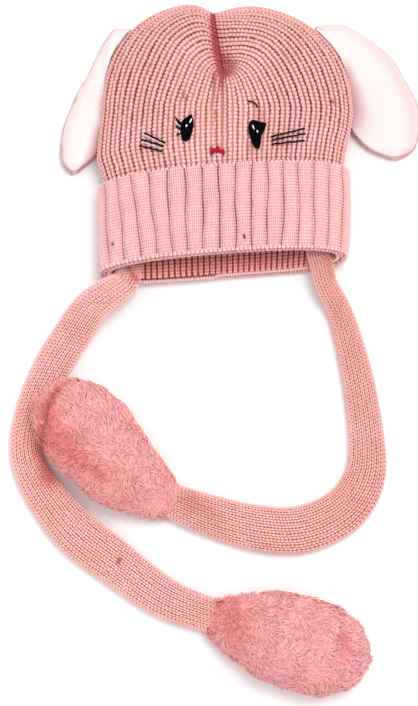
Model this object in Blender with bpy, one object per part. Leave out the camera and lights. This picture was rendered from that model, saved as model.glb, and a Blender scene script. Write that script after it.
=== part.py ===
"""A knitted baby hat shaped as a rabbit, lying on its back, in metres.

A ribbed crown has a turned-up cuff, two plush ears at its sides, an embroidered face on its front and
two long knitted arms that come out of its mouth and end in plush paws. The hat's axis runs along +Y from
the rim to the top, the front of the hat faces +Z, and the origin is on the floor under the middle of the
back of the cuff.
"""
import math

import bmesh
import bpy
import numpy as np

# Driving dimensions of the hat
HAT_WIDTH = 0.200
HAT_THICKNESS = 0.042
RIM_BELOW_ORIGIN = 0.048
RIM_TO_SHOULDER = 0.123
DOME_RISE = 0.096
CUFF_DEPTH = 0.070
CROWN_WALL = 0.0034
CUFF_WALL = 0.0054
CUFF_CLEARANCE = 0.0005
TOUCH_CLEARANCE = 0.0003

# The lie of the hat
WIDEST_LEVEL = 0.42
RIM_SLOPE = 0.07
RIM_FRONT_LEAD = 0.0058
RIM_RECESS = 0.0020

# Ribs
CROWN_RIBS = 52
CROWN_RIB_RELIEF = 0.0016
CUFF_RIBS = 34
CUFF_RIB_RELIEF = 0.0018
COLUMNS_PER_RIB = 3

# The fold that runs down the front from the top
FOLD_DEPTH = 0.0085
FOLD_LENGTH = 0.067
FOLD_LEAN = 0.011
LOBE_HEIGHT = 0.0025

# Ears
EAR_LENGTH = 0.110
EAR_THICKNESS = 0.0100
EAR_ROOT_BOW = 0.0024
EAR_CLEARANCE = 0.0007

# Arms and paws
ARM_LENGTH = 0.400
ARM_WIDTH = 0.036
ARM_THICKNESS = 0.0130
PAW_LENGTH = 0.132
PAW_WIDTH = 0.070
PAW_HEIGHT = 0.036
LOCK_HEIGHT = 0.0026

# Embroidery
PATCH_THICKNESS = 0.0008
PATCH_CLEARANCE = 0.0007
EYE_HEIGHT = 0.0225
NOSE_WIDTH = 0.0115

HALF_WIDTH = HAT_WIDTH / 2
WIDEST_Z = HAT_THICKNESS * WIDEST_LEVEL
SHOULDER_Y = RIM_TO_SHOULDER - RIM_BELOW_ORIGIN
CUFF_BUILD_UP = CUFF_WALL + CUFF_CLEARANCE

# Powers of the rounded outlines: the flattened section above and below its widest line, and the dome
TOP_POWERS = (2.6, 2.0)
BOTTOM_POWERS = (6.0, 2.2)
DOME_POWER = 2.35
DOME_EDGE_POWERS = (2.6, 2.2)

# Cuff, bottom to top: height in CUFF_DEPTH, half widths in HALF_WIDTH, front in HAT_THICKNESS
CUFF_SHAPE = {
    "height": (0.00, 0.25, 0.60, 1.00),
    "left": (1.005, 1.012, 1.018, 1.020),
    "right": (0.945, 0.968, 0.976, 0.972),
    "front": (0.955, 0.985, 1.000, 0.995),
}

# Crown between the cuff and the shoulder: rise as a share, half widths in HALF_WIDTH, the rest in
# HAT_THICKNESS
CROWN_SHAPE = {
    "rise": (0.00, 0.14, 0.38, 0.68, 1.00),
    "left": (0.961, 0.985, 1.030, 1.018, 1.000),
    "right": (0.913, 0.922, 0.942, 0.978, 1.000),
    "back": (0.135, 0.075, 0.018, 0.000, 0.000),
    "front": (0.860, 0.925, 0.985, 1.000, 1.000),
}

# Rings of the crown, as shares of its dome from the shoulder (1) to the crease at the top (0)
DOME_RINGS = (0.84, 0.68, 0.52, 0.38, 0.26, 0.16, 0.08, 0.0)
INNER_DOME_RINGS = (0.78, 0.56, 0.38, 0.22, 0.10, 0.0)
INNER_TUBE_RINGS = (0.5, 1.0)
INNER_CUFF_HEIGHTS = (RIM_RECESS, CUFF_DEPTH * 0.5, CUFF_DEPTH)
CREASE_BACK = 0.35
LEFT_FOLD_SPREAD = 0.13
RIGHT_FOLD_SPREAD = 0.34
TOP_FOLD_SPREAD = 0.10
LOBE_CENTRE = 0.45
LOBE_SPREAD = 0.18

# Cuff ring in section: height in CUFF_DEPTH, depth in CUFF_WALL from the crown side outwards, rib share
CUFF_SECTION = (
    (0.990, 0.10, 0.0),
    (1.000, 0.45, 0.0),
    (0.988, 0.85, 0.2),
    (0.955, 1.00, 1.0),
    (0.500, 1.00, 1.0),
    (0.050, 1.00, 1.0),
    (0.012, 0.85, 0.8),
    (0.000, 0.50, 0.3),
    (0.012, 0.12, 0.0),
    (0.100, 0.00, 0.0),
    (0.950, 0.00, 0.0),
)

# Ear outlines: edges in EAR_LENGTH from the root, out from the hat's side and down towards the rim,
# height of the underside in the root's height
LEFT_EAR = {
    "outer_out": (-0.06, 0.03, 0.095, 0.16, 0.225, 0.30, 0.36, 0.405, 0.42, 0.41, 0.375),
    "outer_down": (-0.12, -0.135, -0.08, 0.03, 0.17, 0.31, 0.46, 0.60, 0.74, 0.86, 0.94),
    "inner_down": (0.12, 0.20, 0.28, 0.36, 0.44, 0.52, 0.61, 0.69, 0.77, 0.845, 0.92),
    "inner_gap": (0.0, 0.0, 0.0, 0.0, 0.0, 0.0, 0.0, 0.0, 0.02, 0.07, 0.15),
    "lift": (1.00, 0.74, 0.42, 0.16, 0.03, 0.0, 0.0, 0.0, 0.0, 0.0, 0.0),
}
RIGHT_EAR = {
    "outer_out": (-0.06, 0.07, 0.21, 0.34, 0.475, 0.555, 0.63, 0.655, 0.645, 0.615, 0.555),
    "outer_down": (-0.12, -0.175, -0.135, -0.055, 0.065, 0.215, 0.37, 0.50, 0.63, 0.75, 0.825),
    "inner_down": (0.12, 0.185, 0.26, 0.34, 0.42, 0.49, 0.56, 0.63, 0.70, 0.77, 0.825),
    "inner_gap": (0.0, 0.0, 0.0, 0.0, 0.0, 0.0, 0.0, 0.03, 0.10, 0.20, 0.30),
    "lift": (1.00, 0.74, 0.42, 0.16, 0.03, 0.0, 0.0, 0.0, 0.0, 0.0, 0.0),
}

# Ear sections: place across from the inner edge (-1) to the outer edge (1), height in EAR_THICKNESS
EAR_TRAY_SECTION = (
    (-0.86, 0.00), (0.86, 0.00), (0.97, 0.25), (1.00, 0.55), (0.94, 0.90), (0.85, 1.00), (0.76, 0.86),
    (0.72, 0.56), (0.00, 0.50), (-0.72, 0.56), (-0.76, 0.86), (-0.85, 1.00), (-0.94, 0.90), (-1.00, 0.55),
    (-0.97, 0.25),
)
EAR_PANEL_SECTION = (
    (-0.68, 0.61), (0.00, 0.55), (0.68, 0.61), (0.70, 0.72), (0.45, 0.86), (0.00, 0.92), (-0.45, 0.86),
    (-0.70, 0.72),
)
EAR_PANEL_STATIONS = (1, 10)

# Arm routes from the rim: across and along in ARM_LENGTH, breadth in ARM_WIDTH, depth in ARM_THICKNESS
LEFT_ARM = {
    "across": (0.176, 0.190, 0.204, 0.268, 0.326, 0.367, 0.387, 0.362, 0.292, 0.212, 0.118, 0.028),
    "along": (0.062, 0.010, -0.026, -0.074, -0.156, -0.244, -0.334, -0.405, -0.494, -0.556, -0.622, -0.656),
    "breadth": (0.54, 0.56, 0.62, 0.76, 0.80, 0.74, 0.66, 0.76, 0.94, 0.92, 0.82, 0.70),
    "depth": (0.62, 0.66, 0.80, 0.95, 0.88, 0.80, 0.80, 0.92, 0.90, 0.92, 0.95, 1.00),
}
RIGHT_ARM = {
    "across": (0.172, 0.184, 0.193, 0.222, 0.252, 0.267, 0.256, 0.214, 0.140, 0.058, -0.040, -0.106),
    "along": (0.062, 0.010, -0.026, -0.080, -0.205, -0.338, -0.408, -0.462, -0.494, -0.492, -0.466, -0.441),
    "breadth": (0.50, 0.50, 0.50, 0.54, 0.66, 0.76, 0.88, 0.96, 0.98, 0.94, 0.84, 0.72),
    "depth": (0.62, 0.66, 0.80, 0.98, 0.98, 0.95, 0.92, 0.90, 0.90, 0.92, 0.95, 1.00),
}
ARM_STATIONS = 34
ARM_SIDES = 12
ARM_DESCENT = 0.030
RIM_PASS = 0.003

# Paws from wrist to tip: place in PAW_LENGTH, breadth in PAW_WIDTH, height in PAW_HEIGHT
PAW_SHAPE = {
    "place": (0.00, 0.04, 0.16, 0.34, 0.55, 0.74, 0.88, 0.96, 1.00),
    "breadth": (0.36, 0.44, 0.66, 0.90, 1.00, 0.94, 0.72, 0.44, 0.12),
    "height": (0.36, 0.44, 0.70, 0.93, 1.00, 0.95, 0.78, 0.52, 0.16),
}
PAW_RINGS = 17
PAW_SIDES = 24
PAW_BEND_SHARE = 0.45
LEFT_PAW = {"bend": 5.0, "length": 0.90, "breadth": 0.95, "tip_lift": 0.0}
RIGHT_PAW = {"bend": -25.0, "length": 0.98, "breadth": 0.93, "tip_lift": 1.0}

# Eyes and nose: centre across in HALF_WIDTH and up as a share of the way from the cuff's top to the
# shoulder, outline in the patch's own size
LEFT_EYE_CENTRE = (-0.314, 0.625)
RIGHT_EYE_CENTRE = (0.228, 0.548)
NOSE_CENTRE = (-0.078, 0.293)
LEFT_EYE_OUTLINE = (
    (0.15, 0.52), (-0.06, 0.38), (-0.19, 0.24), (-0.23, 0.05), (-0.235, -0.22), (-0.17, -0.41),
    (-0.02, -0.48), (0.12, -0.35), (0.18, -0.16), (0.235, 0.08), (0.22, 0.33),
)
RIGHT_EYE_OUTLINE = (
    (-0.17, 0.48), (-0.25, 0.40), (-0.30, 0.21), (-0.27, -0.03), (-0.17, -0.34), (-0.06, -0.52),
    (0.09, -0.53), (0.14, -0.31), (0.165, -0.06), (0.27, 0.12), (0.34, 0.37), (0.15, 0.40), (-0.03, 0.47),
)
NOSE_OUTLINE = (
    (0.50, 0.16), (0.34, 0.34), (0.0, 0.38), (-0.34, 0.34), (-0.50, 0.16), (-0.38, -0.14), (0.0, -0.34),
    (0.38, -0.14),
)

COLOURS = {
    "knit": ((0.86, 0.42, 0.40), 0.90),
    "cuff knit": ((0.90, 0.50, 0.48), 0.90),
    "pink plush": ((0.93, 0.66, 0.66), 0.95),
    "white plush": ((0.93, 0.90, 0.88), 0.95),
    "paw plush": ((0.82, 0.34, 0.35), 0.95),
    "black thread": ((0.01, 0.01, 0.015), 0.40),
    "red thread": ((0.55, 0.02, 0.04), 0.45),
}


def rounded(share, powers):
    """Height of a rounded outline of unit size above the given share of its width."""
    width_power, height_power = powers
    return np.maximum(0.0, 1.0 - np.abs(share) ** width_power) ** (1.0 / height_power)


def section_curve():
    """Flattened section of the hat by equal steps of its length, from the front centre towards +X."""
    angle = np.linspace(0.0, 2.0 * math.pi, 1441)
    top = np.cos(angle) >= 0.0
    across = np.sin(angle)
    across = np.sign(across) * np.abs(across) ** np.where(top, 2.0 / TOP_POWERS[0], 2.0 / BOTTOM_POWERS[0])
    height = np.where(top, rounded(across, TOP_POWERS), -rounded(across, BOTTOM_POWERS))
    real_height = height * np.where(top, HAT_THICKNESS - WIDEST_Z, WIDEST_Z)
    steps = np.hypot(np.diff(across * HALF_WIDTH), np.diff(real_height))
    length = np.concatenate(([0.0], np.cumsum(steps)))
    return length / length[-1], across, height


SECTION_LENGTH, SECTION_ACROSS, SECTION_HEIGHT = section_curve()


def section_at(turn):
    """Place across and height, each from -1 to 1, at the given share of the way round the section."""
    share = np.mod(turn, 1.0)
    return np.interp(share, SECTION_LENGTH, SECTION_ACROSS), np.interp(share, SECTION_LENGTH, SECTION_HEIGHT)


def dome_curve():
    """Rise and width of the dome's side outline by equal steps of its length, from the top down."""
    angle = np.linspace(0.0, math.pi / 2, 361)
    width = np.sin(angle) ** (2.0 / DOME_POWER)
    rise = np.maximum(np.cos(angle), 0.0) ** (2.0 / DOME_POWER)
    steps = np.hypot(np.diff(width * HALF_WIDTH), np.diff(rise * DOME_RISE))
    length = np.concatenate(([0.0], np.cumsum(steps)))
    return length / length[-1], width, rise


DOME_LENGTH, DOME_WIDTH, DOME_HEIGHT = dome_curve()


def rim_y(across, height):
    """Distance of the rim along Y, which slopes across the hat and leads at its front."""
    return -RIM_BELOW_ORIGIN + RIM_FRONT_LEAD * height + RIM_SLOPE * across * HALF_WIDTH


def placed(across, height, left, right, back, front):
    """World X and Z of a section point from its half widths and its lowest and highest levels."""
    half = np.where(across < 0.0, left, right)
    rise = np.where(height < 0.0, WIDEST_Z - back, front - WIDEST_Z)
    return across * half, WIDEST_Z + height * rise


def cuff_sizes(height_share, inset):
    """Half widths and levels of the cuff at a height, moved inwards by an inset."""
    column = {name: np.interp(height_share, CUFF_SHAPE["height"], CUFF_SHAPE[name]) for name in CUFF_SHAPE}
    return (
        column["left"] * HALF_WIDTH - inset,
        column["right"] * HALF_WIDTH - inset,
        inset,
        column["front"] * HAT_THICKNESS - inset,
    )


def crown_sizes(rise_share, inset):
    """Half widths and levels of the crown between the cuff and the shoulder, moved inwards by an inset."""
    column = {name: np.interp(rise_share, CROWN_SHAPE["rise"], CROWN_SHAPE[name]) for name in CROWN_SHAPE}
    return (
        column["left"] * HALF_WIDTH - inset,
        column["right"] * HALF_WIDTH - inset,
        column["back"] * HAT_THICKNESS + inset,
        column["front"] * HAT_THICKNESS - inset,
    )


def under_cuff_ring(turn, height, inset):
    """Ring of the crown inside the cuff, at a distance above the rim."""
    across, level = section_at(turn)
    x, z = placed(across, level, *cuff_sizes(height / CUFF_DEPTH, CUFF_BUILD_UP + inset))
    y = rim_y(across, level) + height
    return np.stack([x, y, z], axis=-1)


def body_ring(turn, rise_share, inset):
    """Ring of the crown between the top of the cuff and the shoulder."""
    across, level = section_at(turn)
    x, z = placed(across, level, *crown_sizes(rise_share, inset))
    start = rim_y(across, level) + CUFF_DEPTH + TOUCH_CLEARANCE
    return np.stack([x, start + (SHOULDER_Y - start) * rise_share, z], axis=-1)


def fold_shift(place, toward_front, right):
    """Depth of the front fold, less the lobes beside it, at a share of the way out from the crease."""
    front_spread = np.where(right, RIGHT_FOLD_SPREAD, LEFT_FOLD_SPREAD)
    on_front = np.clip(toward_front / CREASE_BACK, 0.0, 1.0)
    over_top = np.clip((toward_front + CREASE_BACK) / CREASE_BACK, 0.0, 1.0)
    spread = TOP_FOLD_SPREAD + (front_spread - TOP_FOLD_SPREAD) * on_front
    fold = FOLD_DEPTH * np.exp(-((place / spread) ** 2))
    lobe = LOBE_HEIGHT * np.exp(-(((place - LOBE_CENTRE) / LOBE_SPREAD) ** 2))
    return fold * over_top - lobe * on_front


def dome_lean(rise, place):
    """Distance that the dome leans to the left, most at the top of the crease."""
    return FOLD_LEAN * rise * (1.0 - place) ** 1.5


def dome_ring(turn, place, inset):
    """Ring of the dome at a share of the way from the crease at the top (0) to the shoulder (1)."""
    angle = 2.0 * math.pi * turn
    fold_end = np.interp((DOME_RISE - FOLD_LENGTH) / DOME_RISE, DOME_HEIGHT[::-1], DOME_LENGTH[::-1])
    crease = np.where(np.cos(angle) >= 0.0, fold_end, CREASE_BACK)
    sideways = place * np.sin(angle)
    toward_front = np.sqrt(crease ** 2 + (1.0 - crease ** 2) * place ** 2) * np.cos(angle)
    reach = np.hypot(sideways, toward_front)
    across, level = section_at(np.arctan2(sideways, toward_front) / (2.0 * math.pi))
    width = np.interp(reach, DOME_LENGTH, DOME_WIDTH)
    rise = np.interp(reach, DOME_LENGTH, DOME_HEIGHT)
    x = across * width * (HALF_WIDTH - inset)
    y = SHOULDER_Y + rise * (DOME_RISE - inset)
    depth = np.where(level < 0.0, WIDEST_Z - inset, HAT_THICKNESS - WIDEST_Z - inset)
    z = WIDEST_Z + level * rounded(rise, DOME_EDGE_POWERS) * depth
    point = np.stack([x, y, z], axis=-1)
    core = np.array([0.0, SHOULDER_Y + 0.35 * DOME_RISE, WIDEST_Z])
    inward = core - point
    inward /= np.linalg.norm(inward, axis=-1, keepdims=True)
    point = point + inward * fold_shift(place, toward_front, sideways > 0.0)[..., None]
    point[..., 0] -= dome_lean(rise, place)
    point[..., 2] = np.maximum(point[..., 2], inset)
    return point


def crown_rings(columns, tube_heights, body_shares, dome_places, inset):
    """Rings of one face of the crown from the rim to the crease, each an array of points."""
    turn = np.arange(columns) / columns
    rings = [under_cuff_ring(turn, height, inset) for height in tube_heights]
    rings += [body_ring(turn, share, inset) for share in body_shares]
    rings += [dome_ring(turn, place, inset) for place in dome_places]
    return rings


def carved(rings, relief, first_ring):
    """Rings with the bottom of each rib groove moved inwards, from the given ring on."""
    grid = np.array(rings)
    around = np.roll(grid, -1, axis=1) - np.roll(grid, 1, axis=1)
    along = np.gradient(grid, axis=0)
    normal = np.cross(around, along)
    length = np.linalg.norm(normal, axis=-1, keepdims=True)
    normal = normal / np.maximum(length, 1e-12)
    groove = (np.arange(grid.shape[1]) % COLUMNS_PER_RIB) == 0
    for index in range(first_ring, grid.shape[0] - 1):
        grid[index, groove] -= normal[index, groove] * relief
    return grid


def join_rings(mesh, lower, upper):
    """Faces between two rings of vertices, with as many in the lower one for each in the upper one."""
    ratio = len(lower) // len(upper)
    for index, corner in enumerate(upper):
        following = upper[(index + 1) % len(upper)]
        start = index * ratio
        for step in range(ratio):
            first = lower[start + step]
            second = lower[(start + step + 1) % len(lower)]
            if step < ratio // 2:
                mesh.faces.new((first, second, corner))
            elif step == ratio // 2:
                mesh.faces.new((first, second, following, corner))
            else:
                mesh.faces.new((first, second, following))


def ring_vertices(mesh, ring):
    """New vertices at the points of a ring."""
    return [mesh.verts.new(point) for point in ring]


def finish_object(name, mesh, colour_name):
    """Named object from a mesh, with its faces pointing out and its own material."""
    bmesh.ops.remove_doubles(mesh, verts=mesh.verts, dist=1e-6)
    bmesh.ops.recalc_face_normals(mesh, faces=mesh.faces)
    data = bpy.data.meshes.new(name)
    mesh.to_mesh(data)
    mesh.free()
    data.shade_smooth()
    data.set_sharp_from_angle(angle=math.radians(40))
    colour, roughness = COLOURS[colour_name]
    material = bpy.data.materials.new(f"{name} {colour_name}")
    material.use_nodes = True
    shader = material.node_tree.nodes["Principled BSDF"]
    shader.inputs["Base Color"].default_value = (*colour, 1.0)
    shader.inputs["Roughness"].default_value = roughness
    data.materials.append(material)
    piece = bpy.data.objects.new(name, data)
    bpy.context.scene.collection.objects.link(piece)
    return piece


def make_crown():
    """Ribbed bag of knit, open at the rim, with its ribs meeting in a crease at the top."""
    under_cuff = (RIM_RECESS, CUFF_DEPTH)
    columns = CROWN_RIBS * COLUMNS_PER_RIB
    outer = crown_rings(columns, under_cuff, CROWN_SHAPE["rise"][1:], DOME_RINGS, 0.0)
    outer = carved(outer, CROWN_RIB_RELIEF, len(under_cuff))
    inner = crown_rings(CROWN_RIBS, INNER_CUFF_HEIGHTS, INNER_TUBE_RINGS, INNER_DOME_RINGS, CROWN_WALL)
    mesh = bmesh.new()
    outer_rings = [ring_vertices(mesh, ring) for ring in outer]
    inner_rings = [ring_vertices(mesh, ring) for ring in inner]
    join_rings(mesh, outer_rings[0], inner_rings[0])
    for rings in (outer_rings, inner_rings):
        for lower, upper in zip(rings, rings[1:]):
            join_rings(mesh, lower, upper)
    return finish_object("crown", mesh, "knit")


def make_cuff():
    """Turned-up cuff, a ring of wide ribs round the lower part of the crown."""
    columns = CUFF_RIBS * COLUMNS_PER_RIB
    turn = (np.arange(columns) + COLUMNS_PER_RIB / 2) / columns
    groove = (np.arange(columns) % COLUMNS_PER_RIB) == 0
    across, level = section_at(turn)
    mesh = bmesh.new()
    rings = []
    for height_share, depth_share, rib_share in CUFF_SECTION:
        inset = CUFF_WALL * (1.0 - depth_share) + np.where(groove, CUFF_RIB_RELIEF * rib_share, 0.0)
        x, z = placed(across, level, *cuff_sizes(height_share, inset))
        y = rim_y(across, level) + height_share * CUFF_DEPTH
        rings.append(ring_vertices(mesh, np.stack([x, y, z], axis=-1)))
    for ring, following in zip(rings, rings[1:] + rings[:1]):
        join_rings(mesh, ring, following)
    return finish_object("cuff", mesh, "cuff knit")


def crown_side(y, z, side):
    """Distance of the crown's side from the middle of the hat at a place along it and a level."""
    start = float(rim_y(side * 1.0, 0.0)) + CUFF_DEPTH
    share = np.clip((y - start) / (SHOULDER_Y - start), 0.0, 1.0)
    left, right, back, front = crown_sizes(share, 0.0)
    rise = np.clip((y - SHOULDER_Y) / DOME_RISE, 0.0, 1.0)
    place = np.interp(rise, DOME_HEIGHT[::-1], DOME_LENGTH[::-1])
    half = (left if side < 0.0 else right) * rounded(rise, (DOME_POWER, DOME_POWER))
    half -= side * dome_lean(rise, place)
    flatness = rounded(rise, DOME_EDGE_POWERS)
    if z < WIDEST_Z:
        level = (WIDEST_Z - z) / max(1e-9, (WIDEST_Z - back) * flatness)
        return half * rounded(level, (BOTTOM_POWERS[1], BOTTOM_POWERS[0]))
    level = (z - WIDEST_Z) / max(1e-9, (front - WIDEST_Z) * flatness)
    return half * rounded(level, (TOP_POWERS[1], TOP_POWERS[0]))


def crown_front(x, y):
    """Level of the crown's front above a place in the stretch between the cuff and the shoulder."""
    level_share = rounded(x / HALF_WIDTH, TOP_POWERS)
    start = float(rim_y(x / HALF_WIDTH, level_share)) + CUFF_DEPTH + TOUCH_CLEARANCE
    share = np.clip((y - start) / (SHOULDER_Y - start), 0.0, 1.0)
    left, right, _, front = crown_sizes(share, 0.0)
    half = left if x < 0.0 else right
    return WIDEST_Z + (front - WIDEST_Z) * rounded(x / half, TOP_POWERS)


def widest_beside(y, bottom, side):
    """Farthest that the crown's side reaches out beside a piece of the ear's thickness."""
    levels = np.linspace(bottom, bottom + EAR_THICKNESS, 9)
    return max(crown_side(y, level, side) for level in levels)


def ear_sections(outline, side, section):
    """Rings of an ear from its root to its tip, each across from the hat's side to the outer edge."""
    root_y = SHOULDER_Y + DOME_RISE * 0.62
    root_x = crown_side(root_y, WIDEST_Z, side)
    root_bottom = WIDEST_Z - EAR_THICKNESS / 2
    rings = []
    for index in range(len(outline["lift"])):
        bottom = root_bottom * outline["lift"][index]
        inner_y = root_y - outline["inner_down"][index] * EAR_LENGTH
        outer_y = root_y - outline["outer_down"][index] * EAR_LENGTH
        inner_x = widest_beside(inner_y, bottom, side) + EAR_CLEARANCE
        inner_x += outline["inner_gap"][index] * EAR_LENGTH
        outer_x = root_x + outline["outer_out"][index] * EAR_LENGTH
        if index == 0:
            outer_x = widest_beside(outer_y, bottom, side) + EAR_CLEARANCE
        bow = EAR_ROOT_BOW * max(0.0, 1.0 - index / 3.0)
        ring = []
        for across, height in section:
            x = (inner_x + outer_x) / 2 + across * (outer_x - inner_x) / 2 + bow * (1.0 - across ** 2)
            y = (inner_y + outer_y) / 2 + across * (outer_y - inner_y) / 2
            ring.append((side * x, y, bottom + height * EAR_THICKNESS))
        rings.append(ring)
    return rings


def loft(name, rings, colour_name):
    """Closed body through rings of points, with a flat cap at each end."""
    mesh = bmesh.new()
    loops = [ring_vertices(mesh, ring) for ring in rings]
    for lower, upper in zip(loops, loops[1:]):
        join_rings(mesh, lower, upper)
    mesh.faces.new(loops[0][::-1])
    mesh.faces.new(loops[-1])
    return finish_object(name, mesh, colour_name)


def make_ears():
    """Two plush ears, each a pink tray with a rolled rim round a white panel."""
    first, last = EAR_PANEL_STATIONS
    for side, word, outline in ((-1.0, "left", LEFT_EAR), (1.0, "right", RIGHT_EAR)):
        loft(f"ear_back_{word}", ear_sections(outline, side, EAR_TRAY_SECTION), "pink plush")
        panel = ear_sections(outline, side, EAR_PANEL_SECTION)[first:last]
        loft(f"ear_front_{word}", panel, "white plush")


def smooth_route(rows, count):
    """Rows of numbers read at equal steps from a smooth curve through the given rows."""
    points = np.array(rows, dtype=float).T
    ends = np.vstack([2 * points[0] - points[1], points, 2 * points[-1] - points[-2]])
    samples = []
    for index in range(len(points) - 1):
        before, start, end, after = ends[index:index + 4]
        for step in np.linspace(0.0, 1.0, 40, endpoint=False):
            samples.append(0.5 * (
                2 * start
                + (end - before) * step
                + (2 * before - 5 * start + 4 * end - after) * step ** 2
                + (3 * start - before - 3 * end + after) * step ** 3
            ))
    samples.append(points[-1])
    samples = np.array(samples)
    steps = np.hypot(*np.diff(samples[:, :2], axis=0).T)
    length = np.concatenate(([0.0], np.cumsum(steps)))
    wanted = np.linspace(0.0, length[-1], count)
    return np.stack([np.interp(wanted, length, samples[:, column]) for column in range(samples.shape[1])], -1)


def mouth_floor(places):
    """Level of the inside of the hat's back above the floor, at places across the mouth."""
    turn = np.arange(CROWN_RIBS) / CROWN_RIBS
    levels = []
    for height in INNER_CUFF_HEIGHTS:
        ring = under_cuff_ring(turn, height, CROWN_WALL)
        back = ring[(turn > 0.25) & (turn < 0.75)]
        back = back[np.argsort(back[:, 0])]
        levels.append(np.interp(places, back[:, 0], back[:, 2], left=WIDEST_Z, right=WIDEST_Z))
    return np.max(levels, axis=0)


def arm_route(table, side):
    """Centre line of an arm with its breadth and depth, from inside the mouth to the wrist."""
    rim = -RIM_BELOW_ORIGIN - RIM_FRONT_LEAD
    across = side * np.array(table["across"]) * ARM_LENGTH
    along = rim + np.array(table["along"]) * ARM_LENGTH
    breadth = np.array(table["breadth"]) * ARM_WIDTH
    depth = np.array(table["depth"]) * ARM_THICKNESS
    return smooth_route((across, along, breadth, depth), ARM_STATIONS)


def arm_rings(table, side):
    """Rings of a flattened sleeve that lies on the hat's back, passes over the rim and lies on the floor."""
    route = arm_route(table, side)
    heading = np.gradient(route[:, :2], axis=0)
    heading /= np.linalg.norm(heading, axis=1, keepdims=True)
    angles = 2.0 * math.pi * (np.arange(ARM_SIDES) + 0.5) / ARM_SIDES
    rings = []
    seat = 0.0
    for (x, y, breadth, depth), (ahead_x, ahead_y) in zip(route, heading):
        spread = np.sign(np.cos(angles)) * np.abs(np.cos(angles)) ** 0.85 * breadth / 2
        height = (1.0 + np.sign(np.sin(angles)) * np.abs(np.sin(angles)) ** 0.8) / 2
        height = (height - height.min()) / (height.max() - height.min()) * depth
        xs = x + ahead_y * spread
        ys = y - ahead_x * spread
        past_rim = rim_y(xs / HALF_WIDTH, -1.0) - RIM_PASS - ys
        inside = past_rim < 0.0
        if inside.any():
            seat = np.max((mouth_floor(xs) - height)[inside]) + TOUCH_CLEARANCE
        beyond = np.clip(past_rim.min() / ARM_DESCENT, 0.0, 1.0)
        base = seat * (1.0 - beyond ** 2 * (3.0 - 2.0 * beyond))
        rings.append(np.stack([xs, ys, base + height], axis=-1))
    return rings, math.atan2(heading[-1][1], heading[-1][0])


def paw_rings(wrist, heading, form, rng):
    """Rings of a plush paw from the wrist, with every other point raised as a lock of fur."""
    length = PAW_LENGTH * form["length"]
    places = (1.0 - np.cos(np.linspace(0.0, math.pi, PAW_RINGS))) / 2
    angles = 2.0 * math.pi * (np.arange(PAW_SIDES) + 0.5) / PAW_SIDES
    centre = wrist[:2] + np.array([math.cos(heading), math.sin(heading)]) * TOUCH_CLEARANCE
    rings = []
    for index, place in enumerate(places):
        direction = heading + math.radians(form["bend"]) * min(1.0, place / PAW_BEND_SHARE)
        ahead = np.array([math.cos(direction), math.sin(direction)])
        beside = np.array([ahead[1], -ahead[0]])
        if index > 0:
            centre = centre + ahead * (place - places[index - 1]) * length
        breadth = np.interp(place, PAW_SHAPE["place"], PAW_SHAPE["breadth"]) * PAW_WIDTH * form["breadth"]
        height = np.interp(place, PAW_SHAPE["place"], PAW_SHAPE["height"]) * PAW_HEIGHT
        lock = np.where((np.arange(PAW_SIDES) + index) % 2 == 0, 1.0, 0.0)
        lock = lock * (0.7 + 0.6 * rng.random(PAW_SIDES)) * LOCK_HEIGHT
        lock = lock * (1.0 if 0 < index < PAW_RINGS - 1 else 0.0)
        sideways = np.cos(angles) * (breadth / 2 + lock)
        upward = height * 0.5 + np.sin(angles) * (height / 2 + lock)
        comb = np.where(lock > 0.0, 0.35 * LOCK_HEIGHT, 0.0)
        spots = centre + np.outer(sideways, beside) + np.outer(comb, ahead)
        level = np.maximum(upward, 0.0) + form["tip_lift"] * ARM_THICKNESS * place
        rings.append(np.column_stack([spots, level]))
    return rings


def make_arms():
    """Two knitted arms laid on the floor and a plush paw at the end of each."""
    rng = np.random.default_rng(7)
    for side, word, table, form in ((-1.0, "left", LEFT_ARM, LEFT_PAW), (1.0, "right", RIGHT_ARM, RIGHT_PAW)):
        rings, heading = arm_rings(table, side)
        loft(f"arm_{word}", rings, "knit")
        wrist = rings[-1].mean(axis=0)
        paw = paw_rings(wrist, heading, form, rng)
        loft(f"paw_{word}", paw, "paw plush")


def make_patch(name, centre, outline, size, colour_name):
    """Thin embroidered patch that lies on the ribs of the crown's front."""
    centre_x = centre[0] * HALF_WIDTH
    cuff_top = CUFF_DEPTH - RIM_BELOW_ORIGIN
    centre_y = cuff_top + centre[1] * (SHOULDER_Y - cuff_top)
    mesh = bmesh.new()
    layers = []
    for lift in (PATCH_CLEARANCE, PATCH_CLEARANCE + PATCH_THICKNESS):
        middle = mesh.verts.new((centre_x, centre_y, crown_front(centre_x, centre_y) + lift))
        edge = []
        for across, along in outline:
            x = centre_x + across * size
            y = centre_y + along * size
            edge.append(mesh.verts.new((x, y, crown_front(x, y) + lift)))
        layers.append((middle, edge))
    (low_middle, low_edge), (high_middle, high_edge) = layers
    for index in range(len(outline)):
        following = (index + 1) % len(outline)
        mesh.faces.new((low_middle, low_edge[following], low_edge[index]))
        mesh.faces.new((high_middle, high_edge[index], high_edge[following]))
        mesh.faces.new((low_edge[index], low_edge[following], high_edge[following], high_edge[index]))
    return finish_object(name, mesh, colour_name)


def make_face():
    """Embroidered eyes and nose."""
    make_patch("eye_left", LEFT_EYE_CENTRE, LEFT_EYE_OUTLINE, EYE_HEIGHT, "black thread")
    make_patch("eye_right", RIGHT_EYE_CENTRE, RIGHT_EYE_OUTLINE, EYE_HEIGHT, "black thread")
    make_patch("nose", NOSE_CENTRE, NOSE_OUTLINE, NOSE_WIDTH, "red thread")


def clear_scene():
    """Remove every object that the file opened with."""
    for item in list(bpy.data.objects):
        bpy.data.objects.remove(item, do_unlink=True)


def main():
    """Build the hat."""
    clear_scene()
    make_crown()
    make_cuff()
    make_ears()
    make_arms()
    make_face()


main()
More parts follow.
